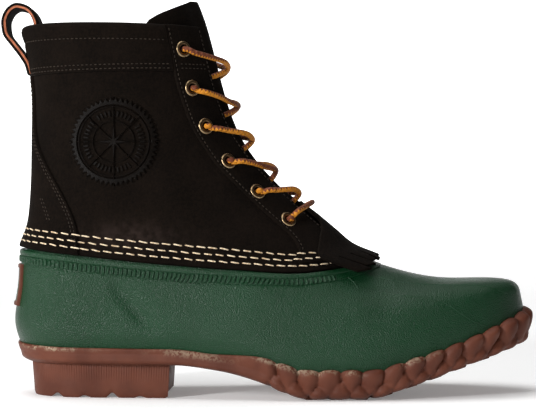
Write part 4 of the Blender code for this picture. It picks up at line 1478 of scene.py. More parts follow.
    def heel(self) -> None:
        """Makes the heel block, with fine upright ribs round it and rounded bars across its foot."""
        last = self.last
        rings = {side: last.point(side.value * np.linspace(0, 1, 600), 0.0) for side in Side}
        back = float(rings[Side.INNER][0, 0]) + self.heel_inset
        dense = back + (self.heel_front - back) * (1 - np.cos(np.linspace(0, math.pi / 2, 3000)))
        away = (dense - back) / (self.heel_front - back)
        half = {}
        for side in Side:
            edge = np.interp(dense - self.heel_inset * (1 - away), rings[side][:, 0], rings[side][:, 1])
            half[side] = np.maximum(np.abs(edge) * self.heel_share, 0.05 * last.heel_width)
        run = last.run_up(np.stack([dense, half[Side.OUTER]], axis=1))
        count = 300
        even = np.linspace(0, run[-1], count)
        x = np.interp(even, run, dense)
        share = (x - back) / (self.heel_front - back)
        width = {side: np.interp(even, run, half[side]) for side in Side}
        pitch = (self.heel_front - back) / self.heel_lugs
        phase = (x - back) / pitch
        near = np.minimum(phase % 1.0, 1 - phase % 1.0)
        wobble = 0.75 + 0.35 * np.sin(2.7 * np.round(phase))
        inside = (phase > 0.5) & (phase < self.heel_lugs - 0.5)
        rise = np.where(inside, self.heel_groove * wobble * (1 - ease(near / 0.26)), 0.0)
        rise = rise + 0.0009 * (1 - ease(np.minimum(x - back, self.heel_front - x) / 0.0022))
        top = last.heel_lift + self.heel_overlap
        heights = np.concatenate([[0.0, 0.03, 0.08], np.linspace(0.16, 0.86, 9), [0.92, 0.955, 0.985, 1.0]])
        rib = 0.5 + 0.5 * np.cos(2 * math.pi * even / self.rib_pitch)
        hollow = self.breast_hollow * ease((share - 0.8) / 0.2)
        across = np.linspace(0, 1, 15)[1:-1]
        span = 4 * across * (1 - across)
        sections = []
        for k in range(count):
            low = rise[k]
            z = low + (top - low) * heights
            taper = self.heel_taper * (1 - heights)
            depth = self.rib_depth * rib[k] * ease((heights - 0.25) / 0.6) - 0.00025 * (heights > 0.93)
            soft = 0.0006 * (1 - np.sqrt(np.clip(heights / 0.08, 0, 1)))
            reach = {side: width[side][k] - taper + depth - soft for side in Side}
            lean = x[k] + taper * (1 - 2 * share[k])
            outer = np.stack([lean, -reach[Side.OUTER], z], axis=1)
            inner = np.stack([lean, reach[Side.INNER], z], axis=1)
            foot_y = outer[0, 1] + (inner[0, 1] - outer[0, 1]) * across
            foot = np.stack([lean[0] - hollow[k] * span, foot_y, np.full(len(span), low)], axis=1)
            head_y = inner[-1, 1] + (outer[-1, 1] - inner[-1, 1]) * across
            head = np.stack([lean[-1] - hollow[k] * span, head_y, np.full(len(span), top)], axis=1)
            sections.append(np.concatenate([outer[::-1], foot, inner, head]))
        piece = ring_piece("ribbed_heel", np.array(sections), sharp=38.0)
        set_amount(piece, "cement", np.zeros(len(piece.data.vertices)))
        dress(piece, self.finishes.brown, Slot.BROWN, "heel")

    def insole(self) -> None:
        """Makes the felt footbed, a little dished under the heel and ball."""
        last = self.last
        count = 160
        u = np.linspace(-1, 1, count, endpoint=False)
        edge = last.point(u, 0.0)
        out = unit(last.normal(u, 0.3) * np.array([1.0, 1.0, 0.0]))
        edge = edge - out * self.insole_gap
        centre = edge.copy()
        centre[:, 1] = (edge[:, 1] + edge[np.arange(count) * -1 % count, 1]) / 2
        rows = []
        dish = ((0.0, 0.0), (0.0, 0.0030), (0.03, 0.0035), (0.12, 0.0036), (0.4, 0.0033), (0.75, 0.0030))
        for inward, lift in dish:
            ring = edge + (centre - edge) * inward
            ring[:, 2] = last.seat(ring[:, 0]) + self.insole_seat + lift
            rows.append(ring)
        faces = grid_faces(len(rows), count, closed=True).tolist()
        faces += ring_cover(0, count) + ring_cover((len(rows) - 1) * count, count)
        piece = new_piece("felt_insole", np.array(rows), faces)
        dress(piece, self.finishes.felt, Slot.LINING, "insole")

    def build(self) -> None:
        """Makes every piece of the sole."""
        self.outsole()
        self.tread()
        self.heel()
        self.insole()


# ---------------------------------------------------------------- leather upper


@dataclass
class Pattern:
    """The leather's cutting lines on the last, shared by the panels, stitches, eyelets and lace."""

    last: Last
    leather: float = 0.0020
    overlay: float = 0.0013
    overlay_gap: float = 0.0005
    overlay_tuck: float = 0.0004
    edge_round: float = 0.0010
    eyestay_width: float = 0.0260
    cuff_height: float = 0.0292
    throat_foot: float = 6.40
    stay_foot: float = 6.28
    stay_seam: float = 0.0020
    cuff_seams: tuple[float, ...] = (0.0016, 0.0040)
    collar_seam: float = 0.0094
    backstay_seams: tuple[float, ...] = (0.0018, 0.0036)
    eyelet_setback: float = 0.0175
    eyelet_top_drop: float = 0.0143
    eyelet_pitch: float = 0.0225
    eyelets_per_side: int = 6
    throat_levels: tuple[float, ...] = (6.40, 6.85, 7.40, 8.00, 9.00, 10.00, 11.00, 12.00, 13.00)
    throat_shares: tuple[float, ...] = (0.340, 0.200, 0.135, 0.126, 0.138, 0.170, 0.212, 0.230, 0.240)
    backstay_levels: tuple[float, ...] = (6.00, 7.00, 8.00, 9.00, 9.80, 10.35, 11.13)
    backstay_shares: tuple[float, ...] = (0.790, 0.690, 0.545, 0.345, 0.190, 0.140, 0.130)

    @property
    def face(self) -> float:
        """Height of an overlay's outer face."""
        return self.overlay_gap + self.overlay

    def throat_half(self, v: Array | float) -> Array:
        """Half width of the throat at level v."""
        return curve_through(self.throat_levels, self.throat_shares, v) * self.last.heel_width

    def backstay_half(self, v: Array | float) -> Array:
        """Half width of the backstay at level v."""
        return curve_through(self.backstay_levels, self.backstay_shares, v) * self.last.heel_width

    def throat_edge(self, side: Side, v: Array | float, setback: float = 0.0) -> Array:
        """u of the shaft's front edge at level v, or of a line a setback behind it."""
        return side.value * (1 - (self.throat_half(v) + setback) / self.last.half_length(side.value, v))

    def backstay_edge(self, side: Side, v: Array | float, inward: float = 0.0) -> Array:
        """u of the backstay's edge at level v, or of a line inside it."""
        return side.value * (self.backstay_half(v) - inward) / self.last.half_length(side.value, v)

    def eyelets(self, side: Side) -> list[tuple[float, float]]:
        """Finds the eyelets of one side.

        Args:
            side: Which side.

        Returns:
            u and v of each, from the collar down.
        """
        spots, v = [], self.last.collar_level
        for k in range(self.eyelets_per_side):
            u = self.throat_edge(side, v, self.eyelet_setback)
            drop = self.eyelet_top_drop if k == 0 else self.eyelet_pitch
            v = float(self.last.climb(u, v, -drop))
            spots.append((float(self.throat_edge(side, v, self.eyelet_setback)), v))
        return spots


@dataclass
class LeatherUpper:
    """The nubuck shaft with its cuff, lace stays, backstay, badge and pull loop."""

    pattern: Pattern
    finishes: Finishes
    hem_rows: tuple[float, ...] = (0.00380, 0.00735, 0.01090)
    seam_sink: float = 0.00028
    badge_place: tuple[float, float] = (0.0088, 0.1462)
    badge_radius: float = 0.0255
    badge_relief: float = 0.00125
    badge_base: float = 0.00016
    badge_skirt: float = 0.0007
    badge_bars: int = 44
    badge_teeth: int = 52
    strap_width: float = 0.0220
    strap_thickness: float = 0.0031

    def sunk(self, distance: Array, rows: tuple[float, ...]) -> Array:
        """How far seams pull the leather down, at a distance from an edge."""
        return sum(self.seam_sink * np.exp(-(((distance - row) / 0.0007) ** 2)) for row in rows)

    def shaft(self) -> None:
        """Makes both quarters in one wall, from the hem to the collar."""
        last, pattern = self.pattern.last, self.pattern
        hem, collar = last.hem_level, last.collar_level
        levels = np.concatenate(
            [
                hem + np.array([0.0, 0.012, 0.03, 0.06]),
                np.linspace(hem + 0.09, 7.05, 34),
                np.linspace(7.12, 11.85, 58),
                collar - np.array([0.11, 0.075, 0.045, 0.02, 0.007, 0.0]),
            ]
        )
        spread = np.linspace(-1, 1, 231)
        turns = 0.6 * spread + 0.4 * np.sin(spread * math.pi / 2)
        outer, inner = [], []
        for v in levels:
            side = np.where(turns < 0, -1.0, 1.0)
            edges = [abs(float(pattern.throat_edge(each, max(v, pattern.throat_foot)))) for each in Side]
            edge = np.where(turns < 0, edges[0], edges[1])
            u = turns * edge
            row = np.full(len(u), v)
            aside = (edge - np.abs(u)) * last.half_length(side, row)
            _, _, lean, rise = last.slopes(u, hem)
            up = (last.arc(u, row) - last.arc(u, hem)) * rise / np.hypot(lean, rise)
            down = last.arc(u, collar) - last.arc(u, row)
            soft = rounded(np.minimum(up, aside), 0.0009) + rounded(down, 0.0012)
            outer.append(last.off(u, row, -soft - self.sunk(up, self.hem_rows)))
            inner.append(last.off(u, row, -pattern.leather + 0.5 * rounded(down, 0.0010)))
        outer = np.array(outer)
        piece = wall_piece("nubuck_shaft", outer, np.array(inner))
        brushed = np.exp(-(((outer[..., 0] - 0.018) / 0.024) ** 2) - ((outer[..., 2] - 0.093) / 0.007) ** 2)
        set_amount(piece, "brushed", np.concatenate([brushed.ravel(), np.zeros(brushed.size)]))
        dress(piece, self.finishes.leather, Slot.LEATHER, "shaft")

    def front_bridge(self) -> None:
        """Makes the hem band's part across the front, under the kiltie."""
        last = self.pattern.last
        edge = abs(float(self.pattern.throat_edge(Side.INNER, self.pattern.throat_foot)))
        u = np.linspace(edge - 0.01, 2 - edge + 0.01, 41)
        outer, inner = [], []
        heights = (0.0, 0.0004, 0.0012, 0.004, 0.008, 0.011, 0.0118, 0.0122)
        for height in heights:
            v = last.climb(u, last.hem_level, height)
            outer.append(last.off(u, v, -0.00012 - rounded(min(height, heights[-1] - height), 0.0009)))
            inner.append(last.off(u, v, -self.pattern.leather))
        piece = wall_piece("front_bridge", np.array(outer), np.array(inner))
        dress(piece, self.finishes.leather, Slot.LEATHER)

    def panel(
        self,
        name: str,
        levels: Array,
        edges: tuple[Array, ...],
        inside: int,
        seams: tuple[float, ...],
        node: str,
    ) -> None:
        """Makes a leather panel laid on the shaft, with rounded edges and seams that pull it down.

        Args:
            name: The piece's name.
            levels: Levels of its rows.
            edges: u of its two sides at each level.
            inside: Columns between its close lines.
            seams: Distances of its seams from both sides.
            node: The plain solid that it stands for.
        """
        last, pattern = self.pattern.last, self.pattern
        first, second = edges
        total = np.abs(second - first) * last.half_length((first + second) / 2, levels)
        marks = (0.0, 0.0002, 0.0005, 0.0009, 0.0014, 0.0020, 0.0026, 0.0033, 0.0042)
        across = lines_across(total, marks, inside)
        u = first[:, None] + (second - first)[:, None] * across / total[:, None]
        v = np.broadcast_to(levels[:, None], u.shape)
        up, down = self.to_ends(u, v)
        side = np.minimum(across, total[:, None] - across)
        edge = np.minimum(np.minimum(side, up), down)
        lift = pattern.face - rounded(edge, pattern.edge_round) - self.sunk(side, seams)
        piece = wall_piece(name, last.off(u, v, lift), last.off(u, v, -pattern.overlay_tuck))
        dress(piece, self.finishes.leather, Slot.LEATHER, node)

    def to_ends(self, u: Array, v: Array) -> tuple[Array, Array]:
        """Lengths over the surface from a panel's first row, and to its last row."""
        here, last = self.pattern.last.arc(u, v), self.pattern.last
        return here - last.arc(u, v[:1]), last.arc(u, v[-1:]) - here

    def close_levels(self, low: float, high: float, count: int, step: float = 0.02) -> Array:
        """Levels from low to high, close together near both ends."""
        near, clear = np.array([0.0, 0.4, 1.0, 1.8]) * step, 3.2 * step
        return np.concatenate([low + near, np.linspace(low + clear, high - clear, count), high - near[::-1]])

    def eyestays(self) -> None:
        """Makes the lace stays along both sides of the throat."""
        for side, word in ((Side.OUTER, "outer"), (Side.INNER, "inner")):
            pattern = self.pattern
            levels = self.close_levels(pattern.stay_foot, pattern.last.collar_level, 66)
            back = pattern.throat_edge(side, levels, pattern.eyestay_width)
            edges = (pattern.throat_edge(side, levels), back)
            self.panel(f"lace_stay_{word}", levels, edges, 9, (pattern.stay_seam,), f"eyestay_{word}")

    def cuff(self) -> None:
        """Makes the band that runs round the collar from one lace stay to the other."""
        last, pattern = self.pattern.last, self.pattern
        low = float(last.climb(0.0, last.collar_level, -pattern.cuff_height))
        levels = self.close_levels(low, last.collar_level, 16, 0.012)
        setback = pattern.eyestay_width + 0.0001
        first, second = (pattern.throat_edge(side, levels, setback)[:, None] for side in Side)
        u = first + (second - first) * np.linspace(0, 1, 181)[None, :]
        v = np.broadcast_to(levels[:, None], u.shape)
        up, down = self.to_ends(u, v)
        seams = self.sunk(up, pattern.cuff_seams) + self.sunk(down, (pattern.collar_seam,))
        roll = 0.0006 * np.exp(-(((down - 0.0040) / 0.0030) ** 2))
        lift = pattern.face - rounded(up, pattern.edge_round) - rounded(down, 0.0022) - seams + roll
        piece = wall_piece("collar_cuff", last.off(u, v, lift), last.off(u, v, -pattern.overlay_tuck))
        dress(piece, self.finishes.leather, Slot.LEATHER, "cuff")

    def backstay(self) -> None:
        """Makes the counter over the heel that narrows to a strip up the back seam."""
        pattern = self.pattern
        levels = self.close_levels(pattern.last.hem_level, pattern.backstay_levels[-1], 64)
        edges = tuple(pattern.backstay_edge(side, levels) for side in Side)
        self.panel("heel_backstay", levels, edges, 40, pattern.backstay_seams, "backstay")

    def badge_figure(self, r: Array, turn: Array) -> Array:
        """Works out the badge's pressed figure.

        Args:
            r: Distances from its middle.
            turn: Angles round it.

        Returns:
            How far each place stands up, from 0 to 1.
        """
        star = np.zeros(r.shape)
        for k in range(8):
            reach, width = ((0.0098, 0.0021), (0.0060, 0.0018))[k % 2]
            along, aside = r * np.cos(turn - k * math.pi / 4), np.abs(r * np.sin(turn - k * math.pi / 4))
            room = np.maximum(width * (1 - along / reach), 1e-6)
            star = np.maximum(star, np.where(along > 0, np.clip(1 - aside / room, 0, 1), 0))
        rings = np.exp(-(((r - 0.0200) / 0.00055) ** 2)) + np.exp(-(((r - 0.0118) / 0.0004) ** 2))
        bar = turn * self.badge_bars / (2 * math.pi)
        bars = ease((np.cos(2 * math.pi * bar) + 0.35) / 0.5) * (np.floor(bar + 0.5) % 11 != 5)
        bars = bars * ease((0.0019 - np.abs(r - 0.0160)) / 0.0005)
        notch = 2 * np.abs((turn * self.badge_teeth / (2 * math.pi)) % 1.0 - 0.5)
        teeth = ease((self.badge_radius - 0.0024 * notch - r) / 0.0005) * ease((r - 0.0209) / 0.0004)
        return np.maximum.reduce([np.minimum(1.4 * star, 1.0), 0.8 * rings, 0.75 * bars, teeth])

    def badge(self) -> None:
        """Makes the round pressed badge: a milled rim, a plain ring and a compass star."""
        last = self.pattern.last
        radius = self.badge_radius
        u0, v0 = last.place(Side.OUTER, *self.badge_place)
        r = np.array([*np.linspace(0.0004, 0.0180, 46), *np.linspace(0.0183, radius + self.badge_skirt, 30)])
        turn = np.linspace(0, 2 * math.pi, 360, endpoint=False)
        r_grid, t_grid = np.meshgrid(r, turn, indexing="ij")
        x = self.badge_place[0] + r_grid * np.cos(t_grid)
        z = self.badge_place[1] + r_grid * np.sin(t_grid)
        u, v = np.full(x.shape, u0), np.full(x.shape, v0)
        # Finds u and v under each x and z in a few steps along the surface's slopes.
        for _ in range(7):
            here = last.point(u, v)
            by_u = (last.point(u + 0.002, v) - here) / 0.002
            by_v = (last.point(u, v + 0.02) - here) / 0.02
            dx, dz = x - here[..., 0], z - here[..., 2]
            det = by_u[..., 0] * by_v[..., 2] - by_v[..., 0] * by_u[..., 2]
            u = u + (dx * by_v[..., 2] - dz * by_v[..., 0]) / det
            v = v + (dz * by_u[..., 0] - dx * by_u[..., 2]) / det
        raised = self.badge_figure(r_grid, t_grid)
        beyond = np.maximum(r_grid - radius, 0.0) / self.badge_skirt
        lift = self.badge_base + np.where(beyond > 0, -0.0006 * beyond, self.badge_relief * raised)
        rows = last.off(u, v, lift)
        count = len(turn)
        deep = last.off(u[-1], v[-1], -0.0009)
        middles = [rows[0].mean(axis=0), deep.mean(axis=0)]
        points = np.concatenate([rows.reshape(-1, 3), deep, middles])
        faces = grid_faces(len(r) + 1, count, closed=True).tolist()
        rim, top = len(r) * count, (len(r) + 1) * count
        for c in range(count):
            d = (c + 1) % count
            faces += [[d, c, top], [rim + c, rim + d, top + 1]]
        piece = new_piece("pressed_badge", points, faces, sharp=70.0)
        pressed = np.concatenate([raised.ravel(), np.zeros(count), [raised[0].mean(), 0.0]])
        set_amount(piece, "pressed", pressed)
        dress(piece, self.finishes.leather, Slot.LEATHER)

    def pull_loop(self) -> None:
        """Makes the folded pull strap with tan cut edges, from the back seam over the collar."""
        last = self.pattern.last
        x = (0.0322, 0.0270, 0.0150, -0.0015, -0.0165, -0.0190, -0.0100)
        x += (0.0060, 0.0240, 0.0375, 0.0450, 0.0465, 0.0465, 0.0445)
        z = (0.872, 0.898, 0.925, 0.955, 0.985, 1.015, 1.046, 1.059, 1.053, 1.035, 1.006, 0.975, 0.948, 0.925)
        knots = tuple(float(k) for k in range(len(x)))
        fine = np.linspace(0, len(x) - 1, 120)
        x_fine = curve_through(knots, x, fine) * last.length - last.heel_centre
        centre = np.stack([x_fine, curve_through(knots, z, fine) * last.collar_height], axis=1)
        even_out(centre, 4)
        along = unit(np.gradient(centre, axis=0))
        side = np.stack([-along[:, 1], along[:, 0]], axis=1)
        # The strap's outline: half its thickness, half its width, and a small soft corner.
        h, w, c = self.strap_thickness / 2, self.strap_width / 2, 0.0005
        side_wall = [(h - 0.3 * c, w - 0.3 * c), (0.5 * h, w), (0.12 * h, w), (0.04 * h, w - 0.0004)]
        side_wall += [(-0.04 * h, w - 0.0001), (-0.82 * h, w - 0.0001), (-h + 0.3 * c, w - 0.3 * c)]
        across = np.linspace(-w + c, w - c, 9)
        outline = [(h, t) for t in across] + side_wall + [(-h, -t) for t in across]
        outline += [(lift, -t) for lift, t in side_wall[::-1]]
        lift = np.array([p[0] for p in outline])[None, :, None]
        y = np.broadcast_to(np.array([p[1] for p in outline]), (len(fine), len(outline)))
        flat = centre[:, None, :] + side[:, None, :] * lift
        sections = np.stack([flat[..., 0], y, flat[..., 1]], axis=-1)
        piece = ring_piece("pull_loop_strap", sections, sharp=60.0)
        dress(piece, self.finishes.leather, Slot.LEATHER, "pull_loop", more=(self.finishes.tan,))
        count = len(outline)
        for face in piece.data.polygons:
            if len(face.vertices) == 4:
                corners = [outline[index % count] for index in face.vertices]
                on_edge = min(abs(y_there) for _, y_there in corners) > w - 1.2 * c
                face.material_index = int(on_edge and all(-0.9 * h < lift < 0.0 for lift, _ in corners))

    def build(self) -> None:
        """Makes every piece of the shaft."""
        self.shaft()
        self.front_bridge()
        self.cuff()
        self.eyestays()
        self.backstay()
        self.badge()
        self.pull_loop()


@dataclass
class TongueAndKiltie:
    """The tongue behind the throat, and the fringed flap over its foot."""

    pattern: Pattern
    finishes: Finishes
    tongue_wall: float = 0.0026
    tongue_round: float = 0.0011
    tongue_levels: tuple[float, ...] = (6.45, 8.00, 10.00, 11.00, 12.00, 12.25, 12.50, 12.75, 12.95)
    tongue_shares: tuple[float, ...] = (0.36, 0.36, 0.46, 0.58, 0.68, 0.58, 0.43, 0.27, 0.12)
    kiltie_thickness: float = 0.0016
    kiltie_round: float = 0.0006
    kiltie_clear: float = 0.0005
    kiltie_spring: float = 0.0028
    kiltie_top: float = 8.05
    kiltie_foot: float = 5.72
    kiltie_levels: tuple[float, ...] = (5.72, 6.30, 7.00, 7.50, 8.05)
    kiltie_shares: tuple[float, ...] = (0.58, 0.53, 0.32, 0.130, 0.075)
    strips: int = 9
    fringe_length: float = 0.0130

    def tongue(self) -> None:
        """Makes the tongue."""
        last, pattern = self.pattern.last, self.pattern
        foot = float(last.climb(1.0, last.hem_level, 0.0106))
        top = self.tongue_levels[-1]
        levels = [*np.linspace(foot, 12.3, 66), *np.linspace(12.36, top - 0.03, 14)]
        levels += [top - 0.018, top - 0.008, top]
        across = np.array([-1, -0.985, -0.955, -0.91, *np.linspace(-0.86, 0.86, 51), 0.91, 0.955, 0.985, 1])
        side = np.where(across < 0, -1.0, 1.0)
        tuck = pattern.leather + 2 * pattern.overlay_gap
        outer, inner = [], []
        for v in levels:
            half = float(curve_through(self.tongue_levels, self.tongue_shares, v)) * last.heel_width
            aside = np.abs(across) * half
            u = side * (1 - aside / last.half_length(side, v))
            fill = 1 - ease(aside / (float(pattern.throat_half(v)) * 0.8))
            depth = -tuck + fill * (tuck - 0.0006) * float(ease((v - 6.9) / 0.8))
            under_kiltie = float(ease((v - 7.1) / 0.3) * (1 - ease((v - self.kiltie_top) / 0.4)))
            depth = depth + 0.0014 * fill * under_kiltie
            below_top = float(last.arc(1.0, top) - last.arc(1.0, v))
            soft = rounded(np.minimum(half - aside, below_top), self.tongue_round)
            outer.append(last.off(u, v, depth - soft))
            inner.append(last.off(u, v, depth - self.tongue_wall + 0.6 * soft))
        piece = wall_piece("nubuck_tongue", np.array(outer), np.array(inner))
        dress(piece, self.finishes.leather, Slot.LEATHER, "tongue")

    def kiltie_lift(self, v: Array, aside: Array | float = 1.0) -> Array:
        """How far the kiltie stands off the last.

        Args:
            v: Level.
            aside: Place from its middle, 0, to over the lace stays, 1.

        Returns:
            The height of its inner face.
        """
        reach = (self.kiltie_top - v) / (self.kiltie_top - self.kiltie_foot)
        over_stays = self.pattern.face * ease((self.kiltie_top - v) / 0.45) * (0.35 + 0.65 * aside)
        return self.kiltie_clear + over_stays + self.kiltie_spring * ease((reach - 0.5) / 0.5)

    def kiltie_half(self, v: Array | float) -> Array:
        """Half width of the kiltie at level v."""
        return curve_through(self.kiltie_levels, self.kiltie_shares, v) * self.pattern.last.heel_width

    def kiltie(self) -> None:
        """Makes the flap, its strips cut from the same leather and curling a little."""
        last = self.pattern.last
        per_strip = 13
        columns = self.strips * per_strip
        body_foot = self.kiltie_foot + 0.45
        body = np.concatenate([self.kiltie_top - np.array([0, 0.012, 0.03]), np.linspace(8.0, body_foot, 34)])
        strip = np.arange(columns) // per_strip
        turn = np.linspace(0, math.pi, per_strip)
        within = np.tile(0.5 - 0.5 * np.cos(turn) * (1 - 0.25 * np.sin(turn) ** 2), self.strips)
        width = 2.0 / self.strips
        centre = -1 + width * (strip + 0.5)

        def row(v: Array, wide_at: Array, narrow: float, more: Array) -> tuple[Array, Array, Array, Array]:
            """Lays out one row of the flap.

            Args:
                v: Its levels.
                wide_at: The levels that give its width.
                narrow: How much each strip's width shrinks.
                more: Further height of its points.

            Returns:
                u, v, place across from -1 to 1, and height.
            """
            t = centre + (within - 0.5) * width * (1 - narrow)
            half = self.kiltie_half(wide_at)
            side = np.where(t < 0, -1.0, 1.0)
            u = side * (1 - np.abs(t) * half / last.half_length(side, v))
            opening = self.pattern.throat_half(np.maximum(v, self.pattern.throat_foot))
            return u, v, t, self.kiltie_lift(v, ease(np.abs(t) * half / opening)) + more

        grid = [row(np.full(columns, v), np.full(columns, v), 0.0, np.zeros(columns)) for v in body]
        reach = self.fringe_length * (0.80 + 0.78 * centre**2 + 0.08 * np.sin(2.4 * strip))
        cut = 0.0016 * np.sin(5.1 * strip + 1.0) * (within - 0.5)
        steps = np.concatenate([np.linspace(0.02, 0.94, 15), [0.965, 0.985, 1.0]])
        foot_v = np.full(columns, body_foot)
        side = np.where(centre < 0, -1.0, 1.0)
        half_foot = float(self.kiltie_half(body_foot))
        u_foot = side * (1 - np.abs(centre) * half_foot / last.half_length(side, foot_v))
        for step in steps:
            v = last.climb(u_foot, foot_v, -(reach + cut) * step)
            curl = 0.0006 * step**2 * np.sin(1.7 * strip + 0.6)
            twist = 0.0006 * step * (within - 0.5) * np.cos(2.9 * strip)
            grid.append(row(v, foot_v, 0.05 + 0.12 * step, curl + twist - 0.0009 * step**2))
        outer, inner = [], []
        for k, (u, v, t, lift) in enumerate(grid):
            half = float(self.kiltie_half(min(float(np.mean(v)), self.kiltie_top)))
            edge = (1 - np.abs(t)) * half
            if k >= len(body):
                edge = np.minimum(within, 1 - within) * width * half * 0.8
                edge = np.minimum(edge, (1 - steps[k - len(body)]) * reach)
            soft = rounded(edge, self.kiltie_round)
            outer.append(last.off(u, v, lift + self.kiltie_thickness - soft))
            inner.append(last.off(u, v, lift + 0.3 * soft))
        cells = grid_faces(len(grid), columns)
        first_row, first_column = np.divmod(cells[:, 0], columns)
        between = (first_column % per_strip == per_strip - 1) & (first_row >= len(body))
        piece = wall_piece("fringed_kiltie", np.array(outer), np.array(inner), cells[~between])
        dress(piece, self.finishes.leather, Slot.LEATHER, "kiltie")

    def build(self) -> None:
        """Makes the tongue and the kiltie."""
        self.tongue()
        self.kiltie()


# ---------------------------------------------------------------- seams


@dataclass(frozen=True)
class Seam:
    """One row of stitches along a line of u and v, at a height over the last."""

    u: Array
    v: Array
    height: float


@dataclass
class Stitching:
    """All the seams: three cream rows along the hem, and brown rows on the panels."""

    pattern: Pattern
    upper: LeatherUpper
    finishes: Finishes
    hem_pitch: float = 0.0066
    hem_stitch: float = 0.0054
    hem_thread: float = 0.00078
    pitch: float = 0.0026
    stitch: float = 0.0015
    panel_thread: float = 0.00055
    counter_seams: tuple[float, ...] = (0.0160, 0.0178)
    strap_gap: float = 0.085

    def thread(self, length: float, thickness: float) -> Piece:
        """Models one stitch at the origin: a short bar along x whose ends dip into the leather.

        Args:
            length: Its length.
            thickness: The thread's thickness.

        Returns:
            The stitch.
        """
        bpy.ops.object.select_all(action="DESELECT")
        bpy.ops.mesh.primitive_cylinder_add(
            vertices=6, radius=thickness / 2, depth=length, rotation=(0.0, math.pi / 2, 0.0)
        )
        made = bpy.context.object
        bpy.ops.object.transform_apply(location=True, rotation=True, scale=True)
        bpy.ops.object.mode_set(mode="EDIT")
        for share in (-0.34, 0.0, 0.34):
            bpy.ops.mesh.select_all(action="SELECT")
            bpy.ops.mesh.bisect(plane_co=(share * length, 0.0, 0.0), plane_no=(1.0, 0.0, 0.0))
        for end in (-1, 1):
            bpy.ops.mesh.select_all(action="DESELECT")
            bm = bmesh.from_edit_mesh(made.data)
            for vertex in bm.verts:
                vertex.select = vertex.co.x * end > 0.45 * length
            bm.select_flush(True)
            bmesh.update_edit_mesh(made.data)
            bpy.ops.transform.resize(value=(1.0, 0.6, 0.6), center_override=(end * length / 2, 0.0, 0.0))
            bpy.ops.transform.translate(value=(0.0, 0.0, -0.75 * thickness))
        bpy.ops.object.mode_set(mode="OBJECT")
        return made

    def along(self, seam: Seam, pitch: float) -> Places:
        """Places stitches along a seam.

        Args:
            seam: The seam's line.
            pitch: Distance from one stitch to the next.

        Returns:
            For each stitch its centre and directions.
        """
        last = self.pattern.last
        line = last.off(seam.u, seam.v, seam.height)
        run = Last.run_up(line)
        count = max(1, round(run[-1] / pitch))
        middles = (np.arange(count) + 0.5) * run[-1] / count
        u, v = np.interp(middles, run, seam.u), np.interp(middles, run, seam.v)
        centre = last.off(u, v, seam.height)
        x = unit(read_path(line, run, middles + 0.0005) - read_path(line, run, middles - 0.0005))
        z = last.normal(u, v)
        y = unit(np.cross(z, x))
        z = np.cross(x, y)
        return [(centre[k], x[k], y[k], z[k]) for k in range(count)]

    def hem(self) -> None:
        """Makes the three cream rows along the hem."""
        last, pattern = self.pattern.last, self.pattern
        places = []
        end = abs(float(pattern.throat_edge(Side.OUTER, pattern.throat_foot))) + 0.02
        u = np.linspace(-end, end, 700)
        for n, height in enumerate(self.upper.hem_rows):
            u_row, v = last.slide(u, last.hem_level, height)
            over = np.abs(u_row) * last.half_length(u_row, v) < pattern.backstay_half(v)
            stay = np.abs(pattern.throat_edge(Side.OUTER, v, pattern.eyestay_width))
            over_stay = (v > pattern.stay_foot) & (np.abs(u_row) > stay)
            lift = np.where(over | over_stay, pattern.face, 0.0) + 0.00005
            line = last.off(u_row, v, lift)
            run = Last.run_up(line)
            middles = np.arange(0.3 * n * self.hem_pitch, run[-1] - self.hem_pitch, self.hem_pitch)
            um, vm = np.interp(middles, run, u_row), np.interp(middles, run, v)
            before, after = read_path(line, run, middles - 0.001), read_path(line, run, middles + 0.001)
            centre = (before + after) / 2
            x, z = unit(after - before), last.normal(um, vm)
            tilt = 0.09 + 0.05 * np.sin(1.7 * np.arange(len(middles)) + n)[:, None]
            y = unit(np.cross(z, x) + x * tilt)
            x = np.cross(y, z)
            places += [(centre[k], x[k], y[k], z[k]) for k in range(len(middles))]
        piece = copies(self.thread(self.hem_stitch, self.hem_thread), places, "hem_stitches")
        dress(piece, self.finishes.cream_thread, Slot.LEATHER)

    def seams(self) -> list[Seam]:
        """Lists the brown seams of the panels.

        Returns:
            The seams.
        """
        last, pattern = self.pattern.last, self.pattern
        face, collar, setback = pattern.face, last.collar_level, pattern.eyestay_width
        cuff_low = float(last.climb(0.0, collar, -pattern.cuff_height))
        edge = abs(float(pattern.throat_edge(Side.OUTER, 11.6, setback))) - 0.012
        u = np.linspace(-edge, edge, 240)
        made = []
        for u_row in (u[u < -self.strap_gap], u[u > self.strap_gap]):
            made.append(Seam(u_row, last.climb(u_row, collar, -pattern.collar_seam), face))
            made += [Seam(u_row, last.climb(u_row, cuff_low, rise), face) for rise in pattern.cuff_seams]
        for side in Side:
            v = np.linspace(6.72, 11.93, 200)
            for back in (pattern.stay_seam, setback - pattern.stay_seam):
                made.append(Seam(pattern.throat_edge(side, v, back), v, face))
            ends = (float(pattern.throat_edge(side, cuff_low, back)) for back in (setback - 0.004, 0.004))
            u = np.linspace(*ends, 40)
            made += [Seam(u, last.climb(u, cuff_low, rise), face) for rise in pattern.cuff_seams]
            for low, high, count, rows in (
                (6.62, 11.05, 200, pattern.backstay_seams),
                (7.35, 8.15, 30, self.counter_seams),
            ):
                v = np.linspace(low, high, count)
                made += [Seam(pattern.backstay_edge(side, v, inward), v, face) for inward in rows]
        return made

    def panels(self) -> None:
        """Makes the brown rows on the panels."""
        places = []
        for seam in self.seams():
            places += self.along(seam, self.pitch)
        piece = copies(self.thread(self.stitch, self.panel_thread), places, "panel_stitches")
        dress(piece, self.finishes.dark_thread, Slot.LEATHER)

    def build(self) -> None:
        """Makes all the stitches."""
        self.hem()
        self.panels()


# ---------------------------------------------------------------- eyelets and lace


